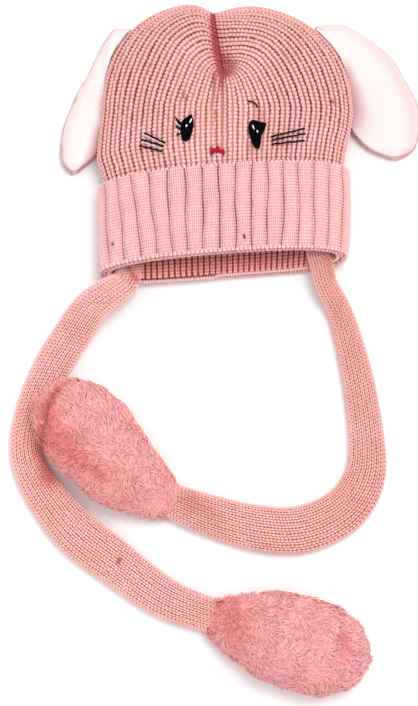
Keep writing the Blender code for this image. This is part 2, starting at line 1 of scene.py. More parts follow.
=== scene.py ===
"""Looks of a knitted baby hat shaped as a rabbit, which lies on its back on a white table.

The crown and the cuff are rib knit, the two arms are plain knit sleeves, the paws and the ears are plush
and the face is embroidered. Every stitch and every lock of pile is a small lobe, laid on the same forms
that the solids have.
"""
import logging
import math
from collections.abc import Callable
from dataclasses import dataclass, field, replace
from enum import Enum

import bmesh
import bpy
import numpy as np
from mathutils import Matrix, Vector
from mathutils.kdtree import KDTree

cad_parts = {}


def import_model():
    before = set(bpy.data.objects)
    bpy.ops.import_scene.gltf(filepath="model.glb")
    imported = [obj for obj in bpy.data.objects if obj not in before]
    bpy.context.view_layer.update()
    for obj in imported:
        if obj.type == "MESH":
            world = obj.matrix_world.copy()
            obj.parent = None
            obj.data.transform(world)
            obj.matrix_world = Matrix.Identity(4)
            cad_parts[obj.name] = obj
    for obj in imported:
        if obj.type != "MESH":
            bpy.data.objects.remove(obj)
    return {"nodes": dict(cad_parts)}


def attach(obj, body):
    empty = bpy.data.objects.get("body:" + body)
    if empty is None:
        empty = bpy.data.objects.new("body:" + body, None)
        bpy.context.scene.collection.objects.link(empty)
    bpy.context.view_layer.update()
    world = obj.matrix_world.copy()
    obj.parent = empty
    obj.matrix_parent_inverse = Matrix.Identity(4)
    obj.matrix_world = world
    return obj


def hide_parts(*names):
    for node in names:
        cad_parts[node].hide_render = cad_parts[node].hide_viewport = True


LOG = logging.getLogger("baby_hat")
FLOOR_GAP = 0.0002
TURN_STEP = 1e-3
TINY = 1e-12
WELD_DISTANCE = 1e-5
RIPPLE_WAVES = 7
RIPPLE_SCALE = 3.2
ROUTE_SAMPLES = 440
SECTION_POINTS = 1441
DOME_POINTS = 361
UNDERSIDE_DEPTH = 0.6
SHADE_STEP = 0.06
PATCH_SCALE = 26.0
UPWARD = np.array([0.0, 0.0, 1.0])
PlaceValue = Callable[[np.ndarray], np.ndarray]


class Side(Enum):
    """Side of the hat in the picture."""

    LEFT = -1.0
    RIGHT = 1.0


class Weld(Enum):
    """Edges of a sheet of faces that are joined to each other."""

    ROUND = "round"
    TUBE = "tube"


def rounded(share: np.ndarray, powers: tuple[float, float]) -> np.ndarray:
    """Height of a rounded outline of unit size above a share of its width.

    Args:
        share: Place across the outline, from -1 to 1.
        powers: Powers of the outline's width and of its height.

    Returns:
        Height of the outline, from 0 to 1.
    """
    width_power, height_power = powers
    return np.maximum(0.0, 1.0 - np.abs(share) ** width_power) ** (1.0 / height_power)


def unit(vectors: np.ndarray) -> np.ndarray:
    """Vectors of the same directions, each one unit long."""
    return vectors / np.maximum(np.linalg.norm(vectors, axis=-1, keepdims=True), TINY)


def eased(share: np.ndarray) -> np.ndarray:
    """Share from 0 to 1 with a soft start and a soft end."""
    clipped = np.clip(share, 0.0, 1.0)
    return clipped * clipped * (3.0 - 2.0 * clipped)


def ripple(points: np.ndarray, size: float, seed: int) -> np.ndarray:
    """Smooth irregular waves over space.

    Args:
        points: Places in metres, with a last axis of three.
        size: Length of a typical wave in metres.
        seed: Seed of the waves' directions.

    Returns:
        A number from about -1 to 1 for each place.
    """
    rng = np.random.default_rng(seed)
    total = np.zeros(points.shape[:-1])
    for _ in range(RIPPLE_WAVES):
        direction = rng.normal(size=3)
        direction *= 2.0 * math.pi / size * rng.uniform(0.6, 1.5) / np.linalg.norm(direction)
        total = total + np.sin(points @ direction + rng.uniform(0.0, 2.0 * math.pi))
    return total / RIPPLE_SCALE


def curve_at(points: np.ndarray, place: float) -> np.ndarray:
    """Values on a smooth curve through rows of numbers.

    Args:
        points: The rows of numbers, or a plain row of them.
        place: Place along the curve, counted in rows.

    Returns:
        The value, or the row of values, at the place.
    """
    rows = np.asarray(points, dtype=float)
    index = min(max(int(place), 0), len(rows) - 2)
    share = place - index
    start, end = rows[index], rows[index + 1]
    before = rows[index - 1] if index > 0 else 2 * start - end
    after = rows[index + 2] if index + 2 < len(rows) else 2 * end - start
    return 0.5 * (
        2 * start
        + (end - before) * share
        + (2 * before - 5 * start + 4 * end - after) * share ** 2
        + (3 * start - before - 3 * end + after) * share ** 3
    )


def smooth_route(rows: tuple[np.ndarray, ...], count: int) -> np.ndarray:
    """Rows of numbers read at equal steps from a smooth curve through the given rows.

    Args:
        rows: The numbers of each kind, the first two being places on the table.
        count: How many rows to return.

    Returns:
        An array of count rows, with a column for each kind.
    """
    points = np.array(rows, dtype=float).T
    table = np.array([curve_at(points, place) for place in np.linspace(0.0, len(points) - 1, ROUTE_SAMPLES)])
    steps = np.hypot(*np.diff(table[:, :2], axis=0).T)
    length = np.concatenate(([0.0], np.cumsum(steps)))
    wanted = np.linspace(0.0, length[-1], count)
    return np.stack([np.interp(wanted, length, column) for column in table.T], -1)


@dataclass(frozen=True)
class ShadeAndFleck:
    """Soft zone of deeper colour along a line of places, seen from above, which the pieces use for painted
    shade along creases, folds and shadows, for painted light, and for small dark flecks in the yarn.
    """

    line: tuple[tuple[float, float], ...]
    widths: tuple[float, ...]
    strengths: tuple[float, ...]

    def at(self, points: np.ndarray) -> np.ndarray:
        """Strength of the mark at places.

        Args:
            points: Places in metres, one to a row.

        Returns:
            The strength at each place.
        """
        total = np.zeros(len(points))
        for index in range(len(self.line) - 1):
            start = np.array(self.line[index])
            step = np.array(self.line[index + 1]) - start
            share = np.clip((points[:, :2] - start) @ step / max(float(step @ step), TINY), 0.0, 1.0)
            away = np.linalg.norm(points[:, :2] - start - share[:, None] * step, axis=1)
            width = self.widths[index] + (self.widths[index + 1] - self.widths[index]) * share
            strength = self.strengths[index] + (self.strengths[index + 1] - self.strengths[index]) * share
            here = strength * np.exp(-((away / width) ** 2))
            total = np.where(np.abs(here) > np.abs(total), here, total)
        return total


def summed_marks(marks: tuple[ShadeAndFleck, ...], above: float) -> PlaceValue:
    """Function that adds up marks (painted shade, painted light and flecks) on the part of a piece above a
    level.

    Args:
        marks: The marks.
        above: Level below which nothing is stained.

    Returns:
        The function, which takes an array of places.
    """
    def value(points: np.ndarray) -> np.ndarray:
        """Sum of the marks at places."""
        return sum(mark.at(points) for mark in marks) * (points[:, 2] > above)

    return value


# Painted shade in the crease of the front fold and in the grooves that run from it down beside the nose, and
# a few small darker spots on the front.
FOLD_SHADE_AND_SPOTS = (
    ShadeAndFleck(
        line=((-0.0112, 0.1650), (-0.0112, 0.1508), (-0.0085, 0.1250), (-0.0042, 0.0994)),
        widths=(0.0016, 0.0019, 0.0026, 0.0030), strengths=(0.9, 1.2, 1.3, 1.2),
    ),
    ShadeAndFleck(
        line=((-0.0112, 0.1500), (-0.0080, 0.1250), (-0.0030, 0.1010)),
        widths=(0.0060, 0.0090, 0.0110), strengths=(0.20, 0.28, 0.26),
    ),
    ShadeAndFleck(
        line=((-0.0025, 0.1180), (0.0035, 0.1110), (0.0010, 0.1010)),
        widths=(0.005,) * 3, strengths=(0.5,) * 3,
    ),
    ShadeAndFleck(
        line=((-0.0042, 0.0994), (-0.0036, 0.0700), (-0.0043, 0.0400)),
        widths=(0.0012,) * 3, strengths=(1.0, 0.6, 0.4),
    ),
    ShadeAndFleck(line=((-0.0104, 0.0994), (-0.0104, 0.0400)), widths=(0.0013, 0.0011), strengths=(0.8, 0.4)),
    ShadeAndFleck(line=((0.0178, 0.0430), (0.0184, 0.0370)), widths=(0.0022, 0.0022), strengths=(0.5, 0.5)),
    ShadeAndFleck(line=((0.0245, 0.0690), (0.0262, 0.0640)), widths=(0.0040, 0.0035), strengths=(0.35, 0.35)),
    ShadeAndFleck(line=((0.0826, 0.0812), (0.0834, 0.0808)), widths=(0.0018, 0.0018), strengths=(0.9, 0.9)),
    ShadeAndFleck(line=((-0.0341, 0.0850), (-0.0340, 0.0810)), widths=(0.0016, 0.0016), strengths=(0.7, 0.7)),
)
UPPER_PAW_CREASE_LINE = (
    (-0.1390, -0.1924), (-0.1375, -0.1789), (-0.1349, -0.1643), (-0.1299, -0.1542), (-0.1239, -0.1452),
)
# Painted shade in the crease of the upper paw and along its lower side.
UPPER_PAW_SHADE = (
    ShadeAndFleck(
        line=UPPER_PAW_CREASE_LINE,
        widths=(0.0030, 0.0034, 0.0034, 0.0030, 0.0022), strengths=(1.3, 1.5, 1.5, 1.4, 0.9),
    ),
    ShadeAndFleck(
        line=((-0.1343, -0.1660), (-0.1264, -0.1862), (-0.1110, -0.2029), (-0.0921, -0.2149)),
        widths=(0.010, 0.013, 0.012, 0.008), strengths=(0.4, 0.75, 0.75, 0.5),
    ),
)
# Painted shade: a darker line down the middle of the same crease, taken off the pile's lightness.
UPPER_PAW_CREASE = (
    ShadeAndFleck(
        line=UPPER_PAW_CREASE_LINE,
        widths=(0.0018, 0.0020, 0.0020, 0.0018, 0.0012), strengths=(-4.0, -5.5, -5.5, -4.5, -2.0),
    ),
)
# Zones of deeper colour on the lower paw, at its wrist end and towards its tip.
LOWER_PAW_DEEPER_ZONES = (
    ShadeAndFleck(line=((-0.0004, -0.3120), (0.0040, -0.3240)), widths=(0.013, 0.016), strengths=(0.6, 0.5)),
    ShadeAndFleck(line=((0.0831, -0.3336), (0.0887, -0.3444)), widths=(0.005, 0.005), strengths=(0.6, 0.4)),
)

LEFT_ARM_FLECK_LINE = ((-0.0826, -0.2768), (-0.0808, -0.2742))
# Painted shade in the fold at the left arm's root, beside the root and along the arm's shaded stretch near
# the paw, and a dark fleck in the yarn.
LEFT_ARM_SHADE_AND_FLECK = (
    ShadeAndFleck(
        line=((-0.0807, -0.0444), (-0.0759, -0.0525), (-0.0704, -0.0605)),
        widths=(0.0022,) * 3, strengths=(0.9,) * 3,
    ),
    ShadeAndFleck(line=((-0.0630, -0.0470), (-0.0640, -0.0560)), widths=(0.005, 0.004), strengths=(0.8, 0.4)),
    ShadeAndFleck(line=LEFT_ARM_FLECK_LINE, widths=(0.0013, 0.0013), strengths=(2.0, 2.0)),
    ShadeAndFleck(
        line=((-0.1195, -0.1374), (-0.1315, -0.1608), (-0.1390, -0.1917), (-0.1361, -0.2130)),
        widths=(0.006, 0.008, 0.0085, 0.0075), strengths=(0.3, 0.6, 0.9, 0.8),
    ),
)
# Painted light along the left arm, which makes it lighter than the right one, and the same dark fleck taken
# off its lightness.
LEFT_ARM_LIGHT = (
    ShadeAndFleck(
        line=((-0.0850, -0.0750), (-0.1380, -0.1900), (-0.0750, -0.2900)),
        widths=(0.030,) * 3, strengths=(0.8, 2.4, 1.0),
    ),
    ShadeAndFleck(line=LEFT_ARM_FLECK_LINE, widths=(0.0010, 0.0010), strengths=(-5.0, -5.0)),
)
# Painted shade where the right arm comes out under the cuff, at its wrist and faintly along its length.
RIGHT_ARM_SHADE = (
    ShadeAndFleck(line=((0.0790, -0.0440), (0.0810, -0.0560)), widths=(0.004, 0.004), strengths=(0.5, 0.3)),
    ShadeAndFleck(line=((-0.0300, -0.2300), (-0.0100, -0.2420)), widths=(0.008, 0.008), strengths=(0.4, 0.3)),
    ShadeAndFleck(
        line=((0.0880, -0.0700), (0.1350, -0.1700), (0.0950, -0.2600), (0.0200, -0.2800)),
        widths=(0.030,) * 4, strengths=(0.14, 0.16, 0.12, 0.03),
    ),
)
CUFF_FLECKS = (
    ShadeAndFleck(line=((0.0124, -0.0303), (0.0130, -0.0330)), widths=(0.0009, 0.0009), strengths=(-24.0, -24.0)),
    ShadeAndFleck(line=((-0.0887, -0.0338), (-0.0885, -0.0350)), widths=(0.0009, 0.0009), strengths=(-20.0, -20.0)),
)


@dataclass(frozen=True)
class WallTable:
    """Sizes of a knitted wall at places along it, as shares of the hat's own sizes."""

    place: tuple[float, ...]
    left: tuple[float, ...]
    right: tuple[float, ...]
    back: tuple[float, ...]
    front: tuple[float, ...]

    def at(self, place: float) -> tuple[float, float, float, float]:
        """Left, right, back and front shares at one place."""
        columns = (self.left, self.right, self.back, self.front)
        return tuple(float(np.interp(place, self.place, column)) for column in columns)


CUFF_TABLE = WallTable(
    place=(0.00, 0.25, 0.60, 1.00),
    left=(1.005, 1.012, 1.018, 1.020),
    right=(0.945, 0.968, 0.976, 0.972),
    back=(0.0, 0.0, 0.0, 0.0),
    front=(0.955, 0.985, 1.000, 0.995),
)
CROWN_TABLE = WallTable(
    place=(0.00, 0.14, 0.38, 0.68, 1.00),
    left=(0.961, 0.985, 1.030, 1.018, 1.000),
    right=(0.913, 0.922, 0.942, 0.978, 1.000),
    back=(0.135, 0.075, 0.018, 0.000, 0.000),
    front=(0.860, 0.925, 0.985, 1.000, 1.000),
)


@dataclass
class HatForm:
    """Smooth form of the hat's walls in metres, before any rib or stitch."""

    half_width: float = 0.100
    thickness: float = 0.042
    widest_level: float = 0.42
    rim_below_origin: float = 0.048
    rim_to_shoulder: float = 0.123
    dome_rise: float = 0.096
    cuff_depth: float = 0.070
    crown_wall: float = 0.0034
    cuff_wall: float = 0.0054
    cuff_clearance: float = 0.0005
    touch_clearance: float = 0.0003
    rim_slope: float = 0.07
    rim_front_lead: float = 0.0058
    rim_recess: float = 0.0020
    fold_depth: float = 0.0085
    fold_length: float = 0.067
    fold_lean: float = 0.011
    lobe_height: float = 0.0025
    crease_back: float = 0.35
    fold_spreads: tuple[float, float, float] = (0.13, 0.34, 0.10)
    lobe_centre: float = 0.45
    lobe_spread: float = 0.18
    top_powers: tuple[float, float] = (2.6, 2.0)
    bottom_powers: tuple[float, float] = (6.0, 2.2)
    dome_power: float = 2.35
    dome_edge_powers: tuple[float, float] = (2.6, 2.2)
    core_rise: float = 0.35
    lean_power: float = 1.5
    rib_lean: float = -0.018
    rib_lean_level: float = 0.45
    rib_lean_turn: float = -0.17
    rib_lean_spread: float = 0.09
    rib_wavers: tuple[tuple[float, float, float], ...] = ((0.0012, 6.0, 44.0), (0.0008, 11.0, -83.0))
    rib_waver_end: float = 0.27
    widest_z: float = field(init=False)
    shoulder_y: float = field(init=False)
    section: tuple[np.ndarray, ...] = field(init=False, repr=False)
    dome: tuple[np.ndarray, ...] = field(init=False, repr=False)

    def __post_init__(self) -> None:
        """Work out the outlines that the walls are read from."""
        self.widest_z = self.thickness * self.widest_level
        self.shoulder_y = self.rim_to_shoulder - self.rim_below_origin
        self.section = self.section_outline()
        self.dome = self.dome_outline()

    def section_outline(self) -> tuple[np.ndarray, ...]:
        """Flattened section by equal steps of its length, from the front centre towards the right.

        Returns:
            Share of the length, place across and height of each point.
        """
        angle = np.linspace(0.0, 2.0 * math.pi, SECTION_POINTS)
        top = np.cos(angle) >= 0.0
        power = np.where(top, 2.0 / self.top_powers[0], 2.0 / self.bottom_powers[0])
        across = np.sign(np.sin(angle)) * np.abs(np.sin(angle)) ** power
        height = np.where(top, rounded(across, self.top_powers), -rounded(across, self.bottom_powers))
        real_height = height * np.where(top, self.thickness - self.widest_z, self.widest_z)
        steps = np.hypot(np.diff(across * self.half_width), np.diff(real_height))
        length = np.concatenate(([0.0], np.cumsum(steps)))
        return length / length[-1], across, height

    def dome_outline(self) -> tuple[np.ndarray, ...]:
        """Side outline of the dome by equal steps of its length, from the top down.

        Returns:
            Share of the length, width and rise of each point.
        """
        angle = np.linspace(0.0, math.pi / 2, DOME_POINTS)
        width = np.sin(angle) ** (2.0 / self.dome_power)
        rise = np.maximum(np.cos(angle), 0.0) ** (2.0 / self.dome_power)
        steps = np.hypot(np.diff(width * self.half_width), np.diff(rise * self.dome_rise))
        length = np.concatenate(([0.0], np.cumsum(steps)))
        return length / length[-1], width, rise

    def section_at(self, turn: np.ndarray) -> tuple[np.ndarray, np.ndarray]:
        """Place across and height, from -1 to 1, at shares of the way round the section."""
        share = np.mod(turn, 1.0)
        length, across, height = self.section
        return np.interp(share, length, across), np.interp(share, length, height)

    def rim_y(self, across: np.ndarray, height: np.ndarray) -> np.ndarray:
        """Distance of the rim along Y, which slopes across the hat and leads at its front."""
        lead = self.rim_front_lead * height
        return -self.rim_below_origin + lead + self.rim_slope * across * self.half_width

    def placed(self, turn: np.ndarray, table: WallTable, place: float, inset: float) -> tuple:
        """Points of a section whose sizes a table gives.

        Args:
            turn: Shares of the way round the section.
            table: Sizes of the wall.
            place: Place along the wall in the table.
            inset: Distance that the section is moved inwards.

        Returns:
            X and Z of the points, and their place across and height.
        """
        across, height = self.section_at(turn)
        left, right, back, front = table.at(place)
        half = np.where(across < 0.0, left, right) * self.half_width - inset
        down = self.widest_z - back * self.thickness - inset
        up = front * self.thickness - inset - self.widest_z
        z = self.widest_z + height * np.where(height < 0.0, down, up)
        return across * half, z, across, height

    def cuff_ring(self, turn: np.ndarray, height: float, inset: float) -> np.ndarray:
        """Ring of the cuff at a share of its depth above the rim."""
        x, z, across, level = self.placed(turn, CUFF_TABLE, height, inset)
        return np.stack([x, self.rim_y(across, level) + height * self.cuff_depth, z], axis=-1)

    def sway(self, turn: np.ndarray, height: float) -> np.ndarray:
        """Turns of the cuff's ribs at a height, as they lean on the left and waver on the front.

        Args:
            turn: Turns of the ribs without any lean.
            height: Share of the cuff's depth above the rim.

        Returns:
            Turns that the ribs pass through.
        """
        wrapped = np.mod(turn + 0.5, 1.0) - 0.5
        near = np.exp(-(((wrapped - self.rib_lean_turn) / self.rib_lean_spread) ** 2))
        lean = self.rib_lean * (height - self.rib_lean_level) * near
        waver = sum(size * np.sin(up * height + aside * wrapped) for size, up, aside in self.rib_wavers)
        return turn + lean + waver * (np.abs(wrapped) < self.rib_waver_end)

    def body_ring(self, turn: np.ndarray, rise: float, inset: float) -> np.ndarray:
        """Ring of the crown between the top of the cuff and the shoulder."""
        x, z, across, level = self.placed(turn, CROWN_TABLE, rise, inset)
        start = self.rim_y(across, level) + self.cuff_depth + self.touch_clearance
        return np.stack([x, start + (self.shoulder_y - start) * rise, z], axis=-1)

    def fold_shift(self, place: float, toward_front: np.ndarray, right: np.ndarray) -> np.ndarray:
        """Depth of the front fold, less the lobes beside it.

        Args:
            place: Share of the way out from the crease.
            toward_front: Place from the back (-1) to the front (1).
            right: True for points on the right of the fold.

        Returns:
            Distance that each point moves inwards.
        """
        left_spread, right_spread, top_spread = self.fold_spreads
        on_front = np.clip(toward_front / self.crease_back, 0.0, 1.0)
        over_top = np.clip((toward_front + self.crease_back) / self.crease_back, 0.0, 1.0)
        spread = top_spread + (np.where(right, right_spread, left_spread) - top_spread) * on_front
        fold = self.fold_depth * np.exp(-((place / spread) ** 2))
        lobe = self.lobe_height * np.exp(-(((place - self.lobe_centre) / self.lobe_spread) ** 2))
        return fold * over_top - lobe * on_front

    def dome_ring(self, turn: np.ndarray, place: float, inset: float) -> np.ndarray:
        """Ring of the dome.

        Args:
            turn: Turns of the points round the ring.
            place: Share of the way from the crease (0) to the shoulder (1).
            inset: Distance that the ring is moved inwards.

        Returns:
            Points of the ring.
        """
        length, dome_width, dome_height = self.dome
        angle = 2.0 * math.pi * turn
        fold_start = (self.dome_rise - self.fold_length) / self.dome_rise
        fold_end = np.interp(fold_start, dome_height[::-1], length[::-1])
        crease = np.where(np.cos(angle) >= 0.0, fold_end, self.crease_back)
        sideways = place * np.sin(angle)
        toward_front = np.sqrt(crease ** 2 + (1.0 - crease ** 2) * place ** 2) * np.cos(angle)
        reach = np.hypot(sideways, toward_front)
        across, level = self.section_at(np.arctan2(sideways, toward_front) / (2.0 * math.pi))
        rise = np.interp(reach, length, dome_height)
        x = across * np.interp(reach, length, dome_width) * (self.half_width - inset)
        y = self.shoulder_y + rise * (self.dome_rise - inset)
        depth = np.where(level < 0.0, self.widest_z - inset, self.thickness - self.widest_z - inset)
        z = self.widest_z + level * rounded(rise, self.dome_edge_powers) * depth
        point = np.stack([x, y, z], axis=-1)
        core = np.array([0.0, self.shoulder_y + self.core_rise * self.dome_rise, self.widest_z])
        shift = self.fold_shift(place, toward_front, sideways > 0.0)
        point = point + unit(core - point) * shift[..., None]
        point[..., 0] -= self.fold_lean * rise * (1.0 - place) ** self.lean_power
        point[..., 2] = np.maximum(point[..., 2], inset)
        return point

    def front_level(self, x: np.ndarray, y: np.ndarray) -> np.ndarray:
        """Level of the crown's front between the cuff and the shoulder.

        Args:
            x: Places across the hat.
            y: Places along the hat.

        Returns:
            Z of the front above each place.
        """
        start = self.rim_y(x / self.half_width, rounded(x / self.half_width, self.top_powers))
        start = start + self.cuff_depth + self.touch_clearance
        share = np.clip((y - start) / (self.shoulder_y - start), 0.0, 1.0)
        front = np.interp(share, CROWN_TABLE.place, CROWN_TABLE.front) * self.thickness
        left = np.interp(share, CROWN_TABLE.place, CROWN_TABLE.left)
        right = np.interp(share, CROWN_TABLE.place, CROWN_TABLE.right)
        half = np.where(x < 0.0, left, right) * self.half_width
        return self.widest_z + (front - self.widest_z) * rounded(x / half, self.top_powers)


class Surface:
    """A smooth surface read as lines that run along it at given turns round it."""

    def lines(self, turns: np.ndarray) -> np.ndarray:
        """Points along the surface at each turn, as an array of steps, turns and three."""
        raise NotImplementedError

    def normals(self, turns: np.ndarray) -> np.ndarray:
        """Outward directions at the points of the lines."""
        around = self.lines(turns + TURN_STEP) - self.lines(turns - TURN_STEP)
        along = np.gradient(self.lines(turns), axis=0)
        return unit(np.cross(around, along))

    def sunk(self, turns: np.ndarray, depth: np.ndarray) -> np.ndarray:
        """Points of the lines moved inwards by a depth for each turn."""
        return self.lines(turns) - self.normals(turns) * np.broadcast_to(depth, turns.shape)[None, :, None]


@dataclass
class CrownSurface(Surface):
    """Outer or inner face of the crown, from its rim or from the top of the cuff to the crease."""

    form: HatForm
    inset: float = 0.0
    under_cuff: bool = False
    cuff_steps: int = 8
    body_steps: int = 14
    dome_steps: int = 40

    def lines(self, turns: np.ndarray) -> np.ndarray:
        """Points along the crown.

        Args:
            turns: Turns of the lines.

        Returns:
            Points as an array of steps, turns and three.
        """
        form = self.form
        rings = []
        if self.under_cuff:
            build_up = form.cuff_wall + form.cuff_clearance + self.inset
            heights = np.linspace(form.rim_recess / form.cuff_depth, 1.0, self.cuff_steps)
            rings += [form.cuff_ring(turns, height, build_up) for height in heights]
        rises = np.linspace(0.0, 1.0, self.body_steps)
        places = np.linspace(1.0, 0.0, self.dome_steps + 1)[1:]
        rings += [form.body_ring(turns, rise, self.inset) for rise in rises]
        rings += [form.dome_ring(turns, place, self.inset) for place in places]
        return np.array(rings)


@dataclass
class CuffFace(Surface):
    """Outer face of the turned-up cuff, from its lower edge to its upper one."""

    form: HatForm
    low: float = 0.0
    high: float = 1.0
    steps: int = 30

    def lines(self, turns: np.ndarray) -> np.ndarray:
        """Points up the cuff at each turn."""
        form = self.form
        heights = np.linspace(self.low, self.high, self.steps)
        return np.array([form.cuff_ring(form.sway(turns, height), height, 0.0) for height in heights])


@dataclass
class MouthSurface(Surface):
    """Inside of the hat's wall near its mouth, with its outward side towards the hollow."""

    form: HatForm
    lip: float = 0.012
    reach: float = 0.9
    steps: int = 20

    def lines(self, turns: np.ndarray) -> np.ndarray:
        """Points from the rim inwards, with the turns taken the other way round.

        Args:
            turns: Turns of the lines.

        Returns:
            Points as an array of steps, turns and three.
        """
        inset = self.form.cuff_wall + self.form.cuff_clearance + self.form.crown_wall
        recess = self.form.rim_recess / self.form.cuff_depth
        heights = np.linspace(recess - self.lip, self.reach, self.steps)
        return np.array([self.form.cuff_ring(-turns, height, inset) for height in heights])


@dataclass(frozen=True)
class ArmTable:
    """Route of an arm from the rim, in the arm's length, and its size along it, in its full size."""

    across: tuple[float, ...]
    along: tuple[float, ...]
    breadth: tuple[float, ...]
    depth: tuple[float, ...]


LEFT_ARM = ArmTable(
    across=(0.176, 0.190, 0.204, 0.268, 0.326, 0.367, 0.387, 0.362, 0.292, 0.212, 0.118, 0.028),
    along=(0.062, 0.010, -0.026, -0.074, -0.156, -0.244, -0.334, -0.405, -0.494, -0.556, -0.622, -0.656),
    breadth=(0.54, 0.56, 0.62, 0.76, 0.80, 0.74, 0.66, 0.76, 0.94, 0.92, 0.82, 0.70),
    depth=(0.62, 0.66, 0.80, 0.95, 0.88, 0.80, 0.80, 0.92, 0.90, 0.92, 0.95, 1.00),
)
RIGHT_ARM = ArmTable(
    across=(0.172, 0.184, 0.193, 0.222, 0.252, 0.267, 0.256, 0.214, 0.140, 0.058, -0.040, -0.106),
    along=(0.062, 0.010, -0.026, -0.080, -0.205, -0.338, -0.408, -0.462, -0.494, -0.492, -0.466, -0.441),
    breadth=(0.50, 0.50, 0.50, 0.54, 0.66, 0.76, 0.88, 0.96, 0.98, 0.94, 0.84, 0.72),
    depth=(0.62, 0.66, 0.80, 0.98, 0.98, 0.95, 0.92, 0.90, 0.90, 0.92, 0.95, 1.00),
)


@dataclass
class SleeveSurface(Surface):
    """Flattened knitted sleeve of an arm, from inside the mouth to the wrist."""

    form: HatForm
    table: ArmTable
    side: Side
    length: float = 0.400
    width: float = 0.036
    thickness: float = 0.0130
    flatness: tuple[float, float] = (0.85, 0.8)
    stations: int = 150
    sides: int = 96
    descent: float = 0.030
    rim_pass: float = 0.003
    inner_ribs: int = 52
    rings: np.ndarray = field(init=False, repr=False)
    heading: float = field(init=False, default=0.0)

    def __post_init__(self) -> None:
        """Lay the sleeve's rings on the hat's back, over the rim and on the table."""
        form = self.form
        start = -form.rim_below_origin - form.rim_front_lead
        route = smooth_route((
            self.side.value * np.array(self.table.across) * self.length,
            start + np.array(self.table.along) * self.length,
            np.array(self.table.breadth) * self.width,
            np.array(self.table.depth) * self.thickness,
        ), self.stations)
        ahead = unit(np.gradient(route[:, :2], axis=0))
        angles = -2.0 * math.pi * np.arange(self.sides + 1) / self.sides
        rings = []
        seat = 0.0
        for (x, y, breadth, depth), (ahead_x, ahead_y) in zip(route, ahead):
            spread = np.sign(np.cos(angles)) * np.abs(np.cos(angles)) ** self.flatness[0] * breadth / 2
            level = np.sign(np.sin(angles)) * np.abs(np.sin(angles)) ** self.flatness[1]
            height = (1.0 + level) / 2 * depth
            xs = x + ahead_y * spread
            ys = y - ahead_x * spread
            past_rim = form.rim_y(xs / form.half_width, -1.0) - self.rim_pass - ys
            inside = past_rim < 0.0
            if inside.any():
                seat = np.max((self.mouth_floor(xs) - height)[inside]) + form.touch_clearance
            base = seat * (1.0 - eased(past_rim.min() / self.descent))
            ring = np.stack([xs, ys, base + height], axis=-1)
            steps = np.linalg.norm(np.diff(ring, axis=0), axis=1)
            share = np.concatenate(([0.0], np.cumsum(steps))) / steps.sum()
            even = np.linspace(0.0, 1.0, self.sides + 1)
            rings.append(np.stack([np.interp(even, share, column) for column in ring.T], -1))
        self.rings = np.array(rings)
        self.heading = math.atan2(ahead[-1][1], ahead[-1][0])

    def mouth_floor(self, places: np.ndarray) -> np.ndarray:
        """Level of the inside of the hat's back.

        Args:
            places: Places across the mouth.

        Returns:
            Z of the inside at each place.
        """
        turn = np.arange(self.inner_ribs) / self.inner_ribs
        inset = self.form.cuff_wall + self.form.cuff_clearance + self.form.crown_wall
        levels = []
        for height in (self.form.rim_recess / self.form.cuff_depth, 0.5, 1.0):
            ring = self.form.cuff_ring(turn, height, inset)
            back = ring[(turn > 0.25) & (turn < 0.75)]
            back = back[np.argsort(back[:, 0])]
            z = self.form.widest_z
            levels.append(np.interp(places, back[:, 0], back[:, 2], left=z, right=z))
        return np.max(levels, axis=0)

    def lines(self, turns: np.ndarray) -> np.ndarray:
        """Points along the sleeve.

        Args:
            turns: Turns of the lines.

        Returns:
            Points as an array of steps, turns and three.
        """
        where = np.mod(turns, 1.0) * (self.rings.shape[1] - 1)
        low = np.minimum(where.astype(int), self.rings.shape[1] - 2)
        share = (where - low)[None, :, None]
        return self.rings[:, low] * (1.0 - share) + self.rings[:, low + 1] * share

    @property
    def wrist(self) -> np.ndarray:
        """Middle of the sleeve's last ring."""
        return self.rings[-1].mean(axis=0)


@dataclass(frozen=True)
class PawTable:
    """Bend, size and lie of one paw."""

    bend: float
    length: float
    breadth: float
    tip_lift: float


PAW_PLACES = (0.00, 0.04, 0.16, 0.34, 0.55, 0.74, 0.88, 0.96, 1.00)
PAW_BREADTHS = (0.36, 0.44, 0.66, 0.90, 1.00, 0.94, 0.72, 0.44, 0.12)
PAW_HEIGHTS = (0.36, 0.44, 0.70, 0.93, 1.00, 0.95, 0.78, 0.52, 0.16)
LEFT_PAW = PawTable(bend=5.0, length=0.90, breadth=0.95, tip_lift=0.0)
RIGHT_PAW = PawTable(bend=-25.0, length=0.98, breadth=0.93, tip_lift=1.0)


